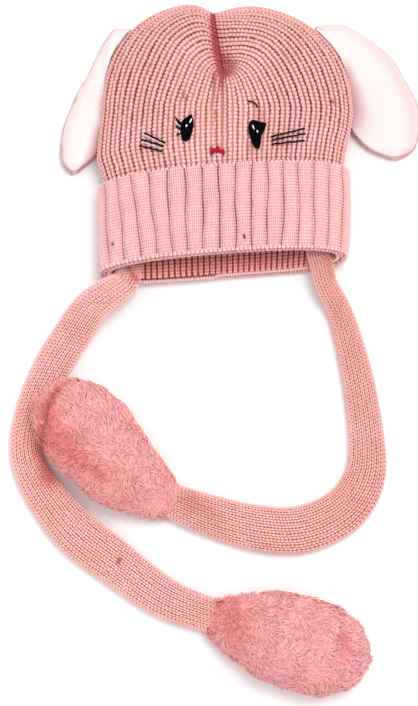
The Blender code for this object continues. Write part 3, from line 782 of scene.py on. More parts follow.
@dataclass
class PawSurface(Surface):
    """Plump skin of a paw, from its wrist to its tip."""

    sleeve: SleeveSurface
    table: PawTable
    length: float = 0.132
    width: float = 0.070
    height: float = 0.036
    tip_size: tuple[float, float] = (0.0005, 0.0004)
    bend_share: float = 0.45
    steps: int = 48

    def lines(self, turns: np.ndarray) -> np.ndarray:
        """Points along the paw.

        Args:
            turns: Turns of the lines.

        Returns:
            Points as an array of steps, turns and three.
        """
        places = (1.0 - np.cos(np.linspace(0.0, math.pi, self.steps))) / 2
        angles = -2.0 * math.pi * turns
        heading = self.sleeve.heading
        centre = self.sleeve.wrist[:2].copy()
        rings = []
        for index, place in enumerate(places):
            direction = heading + math.radians(self.table.bend) * min(1.0, place / self.bend_share)
            ahead = np.array([math.cos(direction), math.sin(direction)])
            if index > 0:
                centre = centre + ahead * (place - places[index - 1]) * self.length * self.table.length
            breadth = np.interp(place, PAW_PLACES, PAW_BREADTHS) * self.width * self.table.breadth
            height = np.interp(place, PAW_PLACES, PAW_HEIGHTS) * self.height
            sideways = np.cos(angles) * max(breadth / 2, self.tip_size[0])
            upward = height * 0.5 + np.sin(angles) * max(height / 2, self.tip_size[1])
            spots = centre + np.outer(sideways, (ahead[1], -ahead[0]))
            level = np.maximum(upward, FLOOR_GAP) + self.table.tip_lift * self.sleeve.thickness * place
            rings.append(np.column_stack([spots, level]))
        return np.array(rings)


@dataclass
class LobeShape:
    """Small closed shape that is repeated as a leg of a stitch or as a lock of pile."""

    sides: int = 0
    rings: int = 0
    points: np.ndarray = field(init=False, repr=False)
    faces: np.ndarray = field(init=False, repr=False)

    def __post_init__(self) -> None:
        """Model the shape, as a ball of 20 faces where no sides are given."""
        shape = bmesh.new()
        if self.sides:
            bmesh.ops.create_uvsphere(shape, u_segments=self.sides, v_segments=self.rings, radius=1.0)
            turn = [Vector((vert.co.x, vert.co.z, -vert.co.y)) for vert in shape.verts]
            for vert, place in zip(shape.verts, turn):
                vert.co = place
        else:
            bmesh.ops.create_icosphere(shape, subdivisions=1, radius=1.0)
        bmesh.ops.triangulate(shape, faces=shape.faces)
        self.points = np.array([vert.co for vert in shape.verts])
        self.faces = np.array([[vert.index for vert in face.verts] for face in shape.faces])
        shape.free()


@dataclass
class LobeField:
    """Many lobes of yarn or pile, gathered in rows of numbers and made into one mesh."""

    shape: LobeShape
    rows: list[np.ndarray] = field(default_factory=list)

    def lay(
        self,
        start: np.ndarray,
        end: np.ndarray,
        normal: np.ndarray,
        width: np.ndarray,
        height: np.ndarray,
        bend: np.ndarray = 0.0,
        sag: np.ndarray = 0.0,
        taper: np.ndarray = 0.0,
        depth: np.ndarray = 0.0,
        shade: np.ndarray = 0.0,
    ) -> None:
        """Add lobes.

        Args:
            start: Start of each lobe.
            end: End of each lobe.
            normal: Direction out of the fabric at each lobe.
            width: Half of each lobe's width.
            height: Half of each lobe's thickness.
            bend: Sideways bow at the middle, as a share of the length.
            sag: Drop of the ends below the middle, in metres.
            taper: How much narrower the far end is, from 0 to 1.
            depth: Share of the deep colour, from 0 to 1; pieces use it for painted shade where a lobe lies
                deep in a groove or low in a pile, and for their own darker tones.
            shade: Lightness of the lobe against its neighbours, from -1 to 1.
        """
        count = len(start)
        values = (width, height, bend, sag, taper, depth, shade)
        singles = [np.broadcast_to(value, (count,)) for value in values]
        self.rows.append(np.column_stack([start, end, normal, *singles]))

    def build(
        self,
        name: str,
        tint: PlaceValue | None = None,
        glow: PlaceValue | None = None,
    ) -> bpy.types.Object:
        """Object of all the lobes, with how deep and how light each one is as attributes.

        Args:
            name: Name of the object.
            tint: Gives a further depth for an array of places, where there is one.
            glow: Gives a further lightness for an array of places, where there is one.

        Returns:
            The new object.
        """
        rows = np.vstack(self.rows)
        start, end, normal = rows[:, 0:3], rows[:, 3:6], rows[:, 6:9]
        width, height, bend, sag, taper, depth, shade = (column[:, None] for column in rows[:, 9:].T)
        x, y, z = self.shape.points.T
        length = np.linalg.norm(end - start, axis=1)[:, None]
        ahead = unit(end - start)
        across = unit(np.cross(ahead, normal))
        upward = np.cross(across, ahead)
        sideways = x * width * (1.0 - taper * (y + 1.0) / 2) + bend * length * (1.0 - y ** 2)
        lift = z * height - sag * y ** 2
        points = ((start + end) / 2)[:, None] + ahead[:, None] * (y * length / 2)[..., None]
        points = points + across[:, None] * sideways[..., None] + upward[:, None] * lift[..., None]
        points = points.reshape(-1, 3)
        points[:, 2] = np.maximum(points[:, 2], FLOOR_GAP)
        faces = (self.shape.faces[None] + np.arange(len(rows))[:, None, None] * len(x)).reshape(-1, 3)
        mesh = bpy.data.meshes.new(name)
        mesh.vertices.add(len(points))
        mesh.vertices.foreach_set("co", points.ravel())
        mesh.loops.add(faces.size)
        mesh.loops.foreach_set("vertex_index", faces.ravel())
        mesh.polygons.add(len(faces))
        mesh.polygons.foreach_set("loop_start", np.arange(0, faces.size, 3))
        mesh.update(calc_edges=True)
        mesh.shade_smooth()
        # The underside of each lobe gets more of the deep colour, as painted shade.
        low = depth + (0.5 - 0.5 * z) * UNDERSIDE_DEPTH
        if tint:
            low = low + tint(points).reshape(low.shape)
        low = np.clip(low, 0.0, 1.0)
        light = np.broadcast_to(shade, low.shape)
        if glow:
            light = light + glow(points).reshape(low.shape)
        for key, value in (("depth", low), ("shade", light)):
            mesh.attributes.new(key, "FLOAT", "POINT").data.foreach_set("value", value.ravel())
        piece = bpy.data.objects.new(name, mesh)
        bpy.context.scene.collection.objects.link(piece)
        return piece


@dataclass
class Knit:
    """Rib knit or plain knit, whose stitches are pairs of leaning legs in upright wales."""

    ribs: int
    wales: int
    pitch: float
    relief: float
    seat: float
    thickness: float
    shift: float = 0.0
    aligned: bool = False
    groove_share: float = 0.16
    leg_width: float = 0.36
    lean: tuple[float, float] = (0.16, 0.70)
    reach: float = 0.62
    skew: float = 0.0
    jitter: float = 0.06
    bow: float = 0.05
    droop: float = 0.55
    roundness: float = 0.75
    least_size: float = 0.0003
    groove_depth: float = 0.5
    unevenness: float = 0.5
    seed: int = 1

    def depth(self, turns: np.ndarray) -> np.ndarray:
        """Depth of the ribbed surface below the smooth form at each turn."""
        phase = np.mod(turns * self.ribs + self.shift, 1.0)
        return self.seat + self.relief * (1.0 - np.sin(math.pi * phase)) ** 1.5

    def lay(self, surface: Surface, lobes: LobeField, first: float = 0.0, last: float = 1.0) -> None:
        """Lay the stitches on a surface.

        Args:
            surface: The surface, in the hat's own form.
            lobes: The lobes that the stitches are added to.
            first: Turn at which the stitches begin.
            last: Turn at which they end.
        """
        rng = np.random.default_rng(self.seed)
        step = (1.0 - self.groove_share) / self.wales
        phases = np.arange(self.wales) * step + self.groove_share / 2
        base = (np.arange(self.ribs)[:, None] - self.shift + phases[None, :]).ravel() / self.ribs
        base = base[(np.mod(base, 1.0) >= first) & (np.mod(base, 1.0) <= last)]
        wale = step / self.ribs
        edges = [base + wale * share for share in (0.0, 0.5, 1.0)]
        left, middle, right = (surface.sunk(turns, self.depth(turns)) for turns in edges)
        gaps = np.linalg.norm(np.diff(middle, axis=0), axis=2)
        travel = np.vstack([np.zeros(len(base)), np.cumsum(gaps, axis=0)])
        if self.aligned:
            travel = np.repeat(travel.mean(axis=1)[:, None], len(base), axis=1)
        # Columns that lie deeper in a groove get more of the deep colour, as painted shade.
        groove = np.clip((self.depth(base + wale / 2) - self.seat) / max(self.relief, 1e-6), 0.0, 1.0)
        for column in range(len(base)):
            self.lay_wale(
                lobes, travel[:, column], left[:, column], middle[:, column], right[:, column],
                float(groove[column]), float(np.mod(column * self.skew, 1.0)), rng,
            )

    def lay_wale(
        self,
        lobes: LobeField,
        travel: np.ndarray,
        left: np.ndarray,
        middle: np.ndarray,
        right: np.ndarray,
        groove: float,
        offset: float,
        rng: np.random.Generator,
    ) -> None:
        """Lay one upright column of stitches.

        Args:
            lobes: The lobes that the stitches are added to.
            travel: Distance travelled at each point of the lines.
            left: Line along the left edge of the column.
            middle: Line along its middle.
            right: Line along its right edge.
            groove: How deep the column lies in a groove, from 0 to 1.
            offset: Share of a stitch that the column is shifted by.
            rng: Source of the small differences between stitches.
        """
        count = int(travel[-1] / self.pitch)
        if count < 1:
            return
        spot = (np.arange(count) + offset + 0.5 * (self.skew == 0.0)) * travel[-1] / count
        low = spot - self.reach * self.pitch
        high = spot + self.reach * self.pitch

        def read(line: np.ndarray, where: np.ndarray) -> np.ndarray:
            """Points of a line at distances travelled."""
            return np.stack([np.interp(where, travel, axis) for axis in line.T], -1)

        half = (read(right, spot) - read(left, spot)) / 2
        bottom = read(middle, low)
        top = read(middle, high)
        normal = unit(np.cross(half, top - bottom))
        size = np.linalg.norm(half, axis=1)
        keep = size > self.least_size
        for hand in (-1.0, 1.0):
            jitter = rng.normal(0.0, self.jitter, (count, 2))
            start = bottom + half * (hand * (self.lean[0] + jitter[:, :1]))
            end = top + half * (hand * (self.lean[1] + jitter[:, 1:]))
            thickness = np.minimum(self.thickness, size * self.roundness)
            width = size[keep] * self.leg_width * rng.uniform(0.9, 1.1, keep.sum())
            lobes.lay(
                start[keep], end[keep], normal[keep], width, thickness[keep], bend=hand * self.bow,
                sag=thickness[keep] * self.droop, depth=groove * self.groove_depth,
                shade=rng.normal(0.0, self.unevenness, keep.sum()),
            )


def sheet_of(
    surface_lines: np.ndarray,
    weld: Weld,
    depth: np.ndarray | None = None,
    shade: np.ndarray | None = None,
) -> bmesh.types.BMesh:
    """Faces through lines of points, made from a grid whose corners are moved onto the lines.

    Args:
        surface_lines: Array of steps, turns and three, whose last turn repeats the first.
        weld: Which edges of the grid meet.
        depth: Share of the deep colour at each point, which is 0 where it isn't given.
        shade: Lightness at each point, which is 0 where it isn't given.

    Returns:
        The mesh, with a UV map of the turn and the step.
    """
    steps, turns = surface_lines.shape[:2]
    depth = np.zeros((steps, turns)) if depth is None else depth
    shade = np.zeros((steps, turns)) if shade is None else shade
    sheet = bmesh.new()
    sheet.loops.layers.uv.new("cloth")
    deep_layer = sheet.verts.layers.float.new("depth")
    shade_layer = sheet.verts.layers.float.new("shade")
    bmesh.ops.create_grid(sheet, x_segments=turns - 1, y_segments=steps - 1, size=0.5, calc_uvs=True)
    for vert in sheet.verts:
        column = round((vert.co.x + 0.5) * (turns - 1))
        row = round((vert.co.y + 0.5) * (steps - 1))
        vert.co = surface_lines[row, column]
        vert[deep_layer] = float(depth[row, column])
        vert[shade_layer] = float(shade[row, column])
    bmesh.ops.remove_doubles(sheet, verts=sheet.verts, dist=WELD_DISTANCE)
    if weld is Weld.TUBE:
        border = [edge for edge in sheet.edges if edge.is_boundary]
        bmesh.ops.holes_fill(sheet, edges=border, sides=0)
    return sheet


def object_of(name: str, sheet: bmesh.types.BMesh) -> bpy.types.Object:
    """Smooth object of a mesh, whose faces are turned outwards.

    Args:
        name: Name of the object.
        sheet: The mesh, which is used up.

    Returns:
        The new object.
    """
    bmesh.ops.recalc_face_normals(sheet, faces=sheet.faces)
    mesh = bpy.data.meshes.new(name)
    sheet.to_mesh(mesh)
    sheet.free()
    mesh.shade_smooth()
    piece = bpy.data.objects.new(name, mesh)
    bpy.context.scene.collection.objects.link(piece)
    return piece


def even_turns(count: int) -> np.ndarray:
    """Turns all the way round, the last of which repeats the first."""
    return np.arange(count + 1) / count


def log_piece(piece: bpy.types.Object) -> None:
    """Report a finished piece and its number of faces."""
    LOG.info("%s: %d faces", piece.name, len(piece.data.polygons))


def shared_group(name: str, inputs: dict[str, tuple[str, object]], outputs: dict[str, str]) -> tuple:
    """New shader node group with named sockets.

    Args:
        name: Name of the group.
        inputs: Socket type and default value of each input.
        outputs: Socket type of each output.

    Returns:
        The group, its input node and its output node.
    """
    group = bpy.data.node_groups.new(name, "ShaderNodeTree")
    for label, (kind, default) in inputs.items():
        socket = group.interface.new_socket(label, in_out="INPUT", socket_type=kind)
        socket.default_value = default
    for label, kind in outputs.items():
        group.interface.new_socket(label, in_out="OUTPUT", socket_type=kind)
    return group, group.nodes.new("NodeGroupInput"), group.nodes.new("NodeGroupOutput")


def wired(
    tree: bpy.types.ShaderNodeTree,
    kind: str,
    sockets: dict[str | int, object],
    operation: str = "",
) -> bpy.types.ShaderNode:
    """New shader node whose inputs hold values or are linked to other nodes.

    Args:
        tree: Node tree that gets the node.
        kind: Type of the node.
        sockets: Value or output socket for each input, by the input's name or number.
        operation: What the node works out, where it has a choice.

    Returns:
        The node.
    """
    node = tree.nodes.new(kind)
    if operation:
        node.operation = operation
    for label, source in sockets.items():
        if isinstance(source, bpy.types.NodeSocket):
            tree.links.new(source, node.inputs[label])
        else:
            node.inputs[label].default_value = source
    return node


def yarn_colour_group() -> bpy.types.ShaderNodeTree:
    """Group that mixes a yarn's colour from its depth in the fabric, which mostly stands for painted shade,
    its own shade, which holds random tone and some painted light and shade, and soft mottling.

    Returns:
        The group.
    """
    group, given, result = shared_group(
        "yarn colour",
        {
            "Top": ("NodeSocketColor", (0.9, 0.5, 0.5, 1.0)),
            "Deep": ("NodeSocketColor", (0.5, 0.1, 0.1, 1.0)),
            "Depth": ("NodeSocketFloat", 0.0),
            "Shade": ("NodeSocketFloat", 0.0),
            "Mottling": ("NodeSocketFloat", 0.1),
            "Mottle Scale": ("NodeSocketFloat", 60.0),
            "Warmth": ("NodeSocketFloat", 0.0),
        },
        {"Color": "NodeSocketColor"},
    )
    place = group.nodes.new("ShaderNodeTexCoord").outputs["Object"]
    noise = wired(group, "ShaderNodeTexNoise", {
        "Vector": place, "Scale": given.outputs["Mottle Scale"], "Detail": 3.0,
    })
    mottle = wired(group, "ShaderNodeMath", {0: noise.outputs["Fac"], 1: 0.5}, "SUBTRACT")
    amount = wired(group, "ShaderNodeMath", {0: mottle.outputs[0], 1: given.outputs["Mottling"]}, "MULTIPLY")
    shade = wired(group, "ShaderNodeMath", {
        0: given.outputs["Shade"], 1: SHADE_STEP, 2: amount.outputs[0],
    }, "MULTIPLY_ADD")
    bright = wired(group, "ShaderNodeMath", {0: shade.outputs[0], 1: 1.0}, "ADD")
    mix = group.nodes.new("ShaderNodeMix")
    mix.data_type = "RGBA"
    group.links.new(given.outputs["Depth"], mix.inputs["Factor"])
    group.links.new(given.outputs["Top"], mix.inputs["A"])
    group.links.new(given.outputs["Deep"], mix.inputs["B"])
    scale = wired(group, "ShaderNodeVectorMath", {
        0: mix.outputs["Result"], "Scale": bright.outputs[0],
    }, "SCALE")
    patches = wired(group, "ShaderNodeTexNoise", {"Vector": place, "Scale": PATCH_SCALE, "Detail": 2.0})
    centred = wired(group, "ShaderNodeMath", {0: patches.outputs["Fac"], 1: 0.5}, "SUBTRACT")
    warm = wired(group, "ShaderNodeMath", {0: centred.outputs[0], 1: given.outputs["Warmth"]}, "MULTIPLY")
    hue = wired(group, "ShaderNodeVectorMath", {
        0: warm.outputs[0], 1: (0.0, -0.45, -1.0), 2: (1.0, 1.0, 1.0),
    }, "MULTIPLY_ADD")
    tinted = wired(group, "ShaderNodeVectorMath", {
        0: scale.outputs["Vector"], 1: hue.outputs["Vector"],
    }, "MULTIPLY")
    group.links.new(tinted.outputs["Vector"], result.inputs["Color"])
    return group


def fibre_group() -> bpy.types.ShaderNodeTree:
    """Group that roughens a surface with fine fibres and gives their normal.

    Returns:
        The group.
    """
    group, given, result = shared_group(
        "fibres",
        {
            "Fineness": ("NodeSocketFloat", 900.0),
            "Strength": ("NodeSocketFloat", 0.4),
            "Height": ("NodeSocketFloat", 0.0003),
        },
        {"Normal": "NodeSocketVector"},
    )
    place = group.nodes.new("ShaderNodeTexCoord")
    noise = wired(group, "ShaderNodeTexNoise", {
        "Vector": place.outputs["Object"], "Scale": given.outputs["Fineness"], "Detail": 4.0,
        "Distortion": 0.6,
    })
    bump = wired(group, "ShaderNodeBump", {
        "Height": noise.outputs["Fac"], "Strength": given.outputs["Strength"],
        "Distance": given.outputs["Height"],
    })
    group.links.new(bump.outputs["Normal"], result.inputs["Normal"])
    return group


@dataclass(frozen=True)
class Finish:
    """Fibre finish of a piece: its colours, its mottling and how it takes light."""

    name: str
    slot: str
    top: tuple[float, float, float]
    # deep is the darker colour that the depth attribute mixes in: painted shade in grooves, under lobes and
    # in creases on the knit and pile, and the pink of the plush on the ears.
    deep: tuple[float, float, float]
    roughness: float = 0.85
    sheen: float = 0.2
    sheen_tint: tuple[float, float, float] = (1.0, 0.9, 0.9)
    specular: float = 0.25
    mottling: float = 0.12
    warmth: float = 0.0
    mottle_scale: float = 60.0
    fineness: float = 900.0
    bump: float = 0.35
    bump_height: float = 0.0003

    def material(self) -> bpy.types.Material:
        """Material of the finish, made on its first use.

        Returns:
            The material.
        """
        known = bpy.data.materials.get(self.name)
        if known:
            return known
        material = bpy.data.materials.new(self.name)
        material.use_nodes = True
        nodes = material.node_tree.nodes
        links = material.node_tree.links
        shader = nodes["Principled BSDF"]
        shader.inputs["Roughness"].default_value = self.roughness
        shader.inputs["Sheen Weight"].default_value = self.sheen
        shader.inputs["Sheen Tint"].default_value = (*self.sheen_tint, 1.0)
        shader.inputs["Specular IOR Level"].default_value = self.specular
        colour = nodes.new("ShaderNodeGroup")
        colour.node_tree = bpy.data.node_groups.get("yarn colour") or yarn_colour_group()
        colour.inputs["Top"].default_value = (*self.top, 1.0)
        colour.inputs["Deep"].default_value = (*self.deep, 1.0)
        colour.inputs["Mottling"].default_value = self.mottling
        colour.inputs["Warmth"].default_value = self.warmth
        colour.inputs["Mottle Scale"].default_value = self.mottle_scale
        for label in ("depth", "shade"):
            attribute = nodes.new("ShaderNodeAttribute")
            attribute.attribute_name = label
            links.new(attribute.outputs["Fac"], colour.inputs[label.capitalize()])
        links.new(colour.outputs["Color"], shader.inputs["Base Color"])
        fibre = nodes.new("ShaderNodeGroup")
        fibre.node_tree = bpy.data.node_groups.get("fibres") or fibre_group()
        fibre.inputs["Fineness"].default_value = self.fineness
        fibre.inputs["Strength"].default_value = self.bump
        fibre.inputs["Height"].default_value = self.bump_height
        links.new(fibre.outputs["Normal"], shader.inputs["Normal"])
        return material

    def dress(self, piece: bpy.types.Object) -> None:
        """Give the finish to a piece and let it ride with the hat.

        Args:
            piece: The piece.
        """
        piece.data.materials.clear()
        piece.data.materials.append(self.material())
        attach(piece, "root")
        log_piece(piece)


CROWN_YARN = Finish("crown yarn", "knit", (0.93, 0.55, 0.51), (0.47, 0.06, 0.07), warmth=0.5)
# The wall under the crown's stitches and its inner face; its dark colour is painted shade in the gaps and in
# the mouth.
CROWN_SHADE_WALL = Finish("crown shade wall", "knit", (0.68, 0.28, 0.26), (0.33, 0.055, 0.055), sheen=0.0)
MOUTH_YARN = Finish("mouth yarn", "knit", (1.0, 0.50, 0.46), (0.70, 0.13, 0.12))
CUFF_YARN = Finish("cuff yarn", "cuff_knit", (0.90, 0.645, 0.64), (0.68, 0.26, 0.25), warmth=0.25)
# The band under the cuff's stitches; its darker colour shows in the grooves as painted shade.
CUFF_CORE = Finish("cuff core", "cuff_knit", (0.76, 0.36, 0.35), (0.24, 0.035, 0.04), sheen=0.0)
ARM_YARN = Finish("arm yarn", "arm_knit", (0.97, 0.59, 0.54), (0.66, 0.19, 0.17), sheen=0.45, warmth=0.5)
# The tube under the arm's stitches; its dark colour shows in their gaps as painted shade.
ARM_CORE = Finish("arm core", "arm_knit", (0.42, 0.095, 0.085), (0.36, 0.08, 0.07), sheen=0.0)
PAW_PILE = Finish(
    "paw pile", "paw_plush", (0.90, 0.50, 0.50), (0.80, 0.24, 0.23), sheen=0.15, specular=0.1, mottling=0.2,
    warmth=0.3,
)
PAW_SKIN = Finish("paw skin", "paw_plush", (0.96, 0.40, 0.39), (0.8, 0.28, 0.29), sheen=0.0)
EAR_PLUSH = Finish(
    "ear plush", "ear_plush_white", (0.79, 0.755, 0.745), (0.76, 0.42, 0.43), sheen=0.1, mottling=0.04,
    bump=0.4, fineness=1400.0,
)
EAR_BACK = replace(EAR_PLUSH, name="ear back plush", slot="ear_plush_pink")
BLACK_THREAD = Finish(
    "black thread", "black_thread", (0.003, 0.002, 0.004), (0.001, 0.001, 0.001), roughness=0.6, sheen=0.0,
    specular=0.03, bump=0.1,
)
WHITE_THREAD = Finish("white thread", "ear_plush_white", (0.88, 0.88, 0.88), (0.6, 0.6, 0.6), roughness=0.5)
RED_THREAD = Finish(
    "red thread", "red_thread", (0.50, 0.010, 0.022), (0.30, 0.006, 0.015), roughness=0.6, sheen=0.0,
    specular=0.10, bump=0.1,
)


@dataclass
class Crown:
    """Ribbed bag of knit over a dark inner wall, whose dark colour is painted shade seen in the gaps between
    stitches and inside the mouth.
    """

    form: HatForm
    knit: Knit = field(default_factory=lambda: Knit(
        ribs=52, wales=1, pitch=0.0031, relief=0.0013, seat=0.0007, thickness=0.0013, groove_share=0.02,
        leg_width=0.51, lean=(0.36, 0.585), reach=0.60, seed=3,
    ))
    wall_sink: float = 0.0007
    # inside_depth, side_depth, side_start and groove_shares set painted shade: over the inner face, on the
    # stitches of the sides and top, and in the grooves of the wall.
    inside_depth: float = 0.95
    side_depth: float = 0.18
    side_start: float = 0.3
    ridge_share: float = 0.5
    groove_shares: tuple[float, float] = (0.55, 0.45)
    face_middle: float = -0.006
    face_half: float = 0.018
    face_bottom: float = 0.045
    face_top: float = 0.110
    side_fade: float = 0.035
    end_fade: float = 0.030
    gap_shade_shares: tuple[float, float, float] = (0.25, 0.75, 0.35)
    columns_per_rib: int = 4

    def build(self) -> None:
        """Make the wall and the stitches on it."""
        turns = even_turns(self.knit.ribs * self.columns_per_rib)
        outer = CrownSurface(self.form, under_cuff=True)
        inner = CrownSurface(self.form, inset=self.form.crown_wall, under_cuff=True)
        outer_lines = outer.sunk(turns, self.knit.depth(turns) + self.wall_sink)
        outer_lines[:outer.cuff_steps] = outer.lines(turns)[:outer.cuff_steps]
        inner_ridge = (self.knit.depth(turns + 0.5 / self.knit.ribs) - self.knit.seat) * self.ridge_share
        inner_lines = inner.sunk(turns, -inner_ridge)
        # The wall is darker in its grooves, and more so on the sides and top, as painted shade; its inner
        # face is dark all over as painted shade.
        groove = 1.0 - np.sin(math.pi * np.mod(turns * self.knit.ribs + self.knit.shift, 1.0))
        base, further = self.groove_shares
        wall = sheet_of(outer_lines, Weld.ROUND, self.gap_shade(outer_lines) * (base + further * groove))
        inside = sheet_of(inner_lines, Weld.ROUND, np.full(inner_lines.shape[:2], self.inside_depth))
        shell = self.joined(wall, inside)
        piece = object_of("crown_wall", shell)
        CROWN_SHADE_WALL.dress(piece)
        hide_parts("crown")
        lobes = LobeField(LobeShape(5, 4))
        self.knit.lay(CrownSurface(self.form), lobes)
        CROWN_YARN.dress(lobes.build("crown_stitches", tint=self.depth_at))

    def depth_at(self, points: np.ndarray) -> np.ndarray:
        """Share of the deep colour in the stitches: painted shade along the fold and on the sides and top of
        the crown, less around the face.
        """
        fold = summed_marks(FOLD_SHADE_AND_SPOTS, self.form.widest_z)(points)
        return fold + self.side_depth * (self.gap_shade(points) - self.side_start)

    def gap_shade(self, points: np.ndarray) -> np.ndarray:
        """Share of painted shade in the knit's gaps and on its stitches, which is least around the face.

        Args:
            points: Places on the crown.

        Returns:
            Share from 0 to 1 at each place.
        """
        least, further, less = self.gap_shade_shares
        aside = eased((np.abs(points[..., 0] - self.face_middle) - self.face_half) / self.side_fade)
        higher = eased((points[..., 1] - self.face_top) / self.end_fade)
        eyes = 1.0 - eased((points[..., 1] - self.face_bottom) / self.end_fade)
        return np.clip(least + further * np.maximum(aside, higher) - less * eyes, 0.0, 1.0)

    @staticmethod
    def joined(wall: bmesh.types.BMesh, inside: bmesh.types.BMesh) -> bmesh.types.BMesh:
        """One closed shell of an outer and an inner sheet, bridged at the rim.

        Args:
            wall: The outer sheet, which is kept.
            inside: The inner sheet, which is used up.

        Returns:
            The shell.
        """
        spare = bpy.data.meshes.new("inner sheet")
        inside.to_mesh(spare)
        inside.free()
        wall.from_mesh(spare)
        bpy.data.meshes.remove(spare)
        rims = [edge for edge in wall.edges if edge.is_boundary]
        bmesh.ops.bridge_loops(wall, edges=rims)
        return wall


@dataclass
class Cuff:
    """Turned-up cuff of wide ribs, with its looped lower edge."""

    form: HatForm
    knit: Knit = field(default_factory=lambda: Knit(
        ribs=34, wales=4, pitch=0.0024, relief=0.0018, seat=0.0005, thickness=0.0009, shift=0.5,
        groove_share=0.06, leg_width=0.46, lean=(0.26, 0.58), seed=5,
    ))
    section: tuple[tuple[float, float, float], ...] = (
        (0.990, 0.10, 0.0), (1.000, 0.45, 0.0), (0.988, 0.82, 0.2), (0.955, 0.96, 1.0), (0.750, 0.96, 1.0),
        (0.500, 0.96, 1.0), (0.250, 0.96, 1.0), (0.050, 0.96, 1.0), (0.012, 0.82, 0.8), (0.000, 0.50, 0.3),
        (0.012, 0.12, 0.0), (0.100, 0.00, 0.0), (0.500, 0.00, 0.0), (0.950, 0.00, 0.0), (0.990, 0.10, 0.0),
    )
    wall_sink: float = 0.0005
    columns_per_rib: int = 10
    band_half: float = 0.16
    band_strength: float = 1.6
    patch_size: float = 0.011
    edge_loops: int = 124
    loop_size: tuple[float, float] = (0.00155, 0.0019)
    loop_droop: float = 0.0006
    top_height: float = 0.992
    top_loop_size: tuple[float, float] = (0.0015, 0.0011)

    def build(self) -> None:
        """Make the band and the stitches on it."""
        turns = even_turns(self.knit.ribs * self.columns_per_rib)
        groove = self.knit.depth(turns) - self.knit.seat
        rings = []
        for height, depth_share, rib_share in self.section:
            inset = self.form.cuff_wall * (1.0 - depth_share) + (groove + self.wall_sink) * rib_share
            rings.append(self.form.cuff_ring(self.form.sway(turns, height), height, inset))
        rings = np.array(rings)
        # The band is darker in the grooves between the ribs, as painted shade, varied in soft patches.
        phase = np.mod(turns * self.knit.ribs + self.knit.shift + 0.5, 1.0) - 0.5
        patches = ripple(rings.reshape(-1, 3), self.patch_size, self.knit.seed).reshape(rings.shape[:2])
        band = np.clip((1.0 - np.abs(phase) / self.band_half) * self.band_strength, 0.0, 1.0)
        dark = band[None, :] * np.clip(0.85 + 0.35 * patches, 0.5, 1.0)
        piece = object_of("cuff_band", sheet_of(rings, Weld.ROUND, dark))
        CUFF_CORE.dress(piece)
        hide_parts("cuff")
        lobes = LobeField(LobeShape())
        self.knit.lay(CuffFace(self.form, 0.015, 0.985), lobes)
        self.lay_roll(lobes)
        CUFF_YARN.dress(lobes.build("cuff_stitches", glow=summed_marks(CUFF_FLECKS, self.form.widest_z)))

    def lay_roll(self, lobes: LobeField) -> None:
        """Row of slanting loops that wrap the lower edge of the cuff, and a finer row along its top.

        Args:
            lobes: The lobes that the loops are added to.
        """
        form = self.form
        turns = np.arange(self.edge_loops) / self.edge_loops
        step = 1.0 / self.edge_loops
        rng = np.random.default_rng(self.knit.seed)
        groove = self.knit.depth(turns) * 0.5
        wall = form.cuff_wall
        width, height = self.loop_size
        # The inner row of loops, under the edge, gets more of the deep colour as painted shade.
        for hand, low, inset in ((1.0, 0.0, 0.05), (-1.0, -0.006, 0.62)):
            start = form.cuff_ring(turns, low + 0.030 - 0.026 * inset, groove + wall * inset)
            end = form.cuff_ring(turns + step * 0.55 * hand, low - 0.004, groove + wall * (inset + 0.34))
            middle = form.cuff_ring(turns, -0.012, groove + wall * (inset + 0.05))
            normal = unit(middle - (start + end) / 2)
            lobes.lay(
                start, end, normal, width * rng.uniform(0.85, 1.15, len(turns)), height,
                sag=self.loop_droop, depth=0.04 + 0.75 * inset, shade=rng.normal(0.4, 0.7, len(turns)),
            )
        here = form.cuff_ring(turns, self.top_height, wall * 0.30 + groove)
        ahead = form.cuff_ring(turns + step * 0.95, self.top_height, wall * 0.30 + groove)
        upward = unit(here - form.cuff_ring(turns, 0.96, wall * 0.6 + groove))
        shade = rng.normal(0.2, 0.3, len(turns))
        lobes.lay(here, ahead, upward, *self.top_loop_size, bend=0.06, shade=shade)


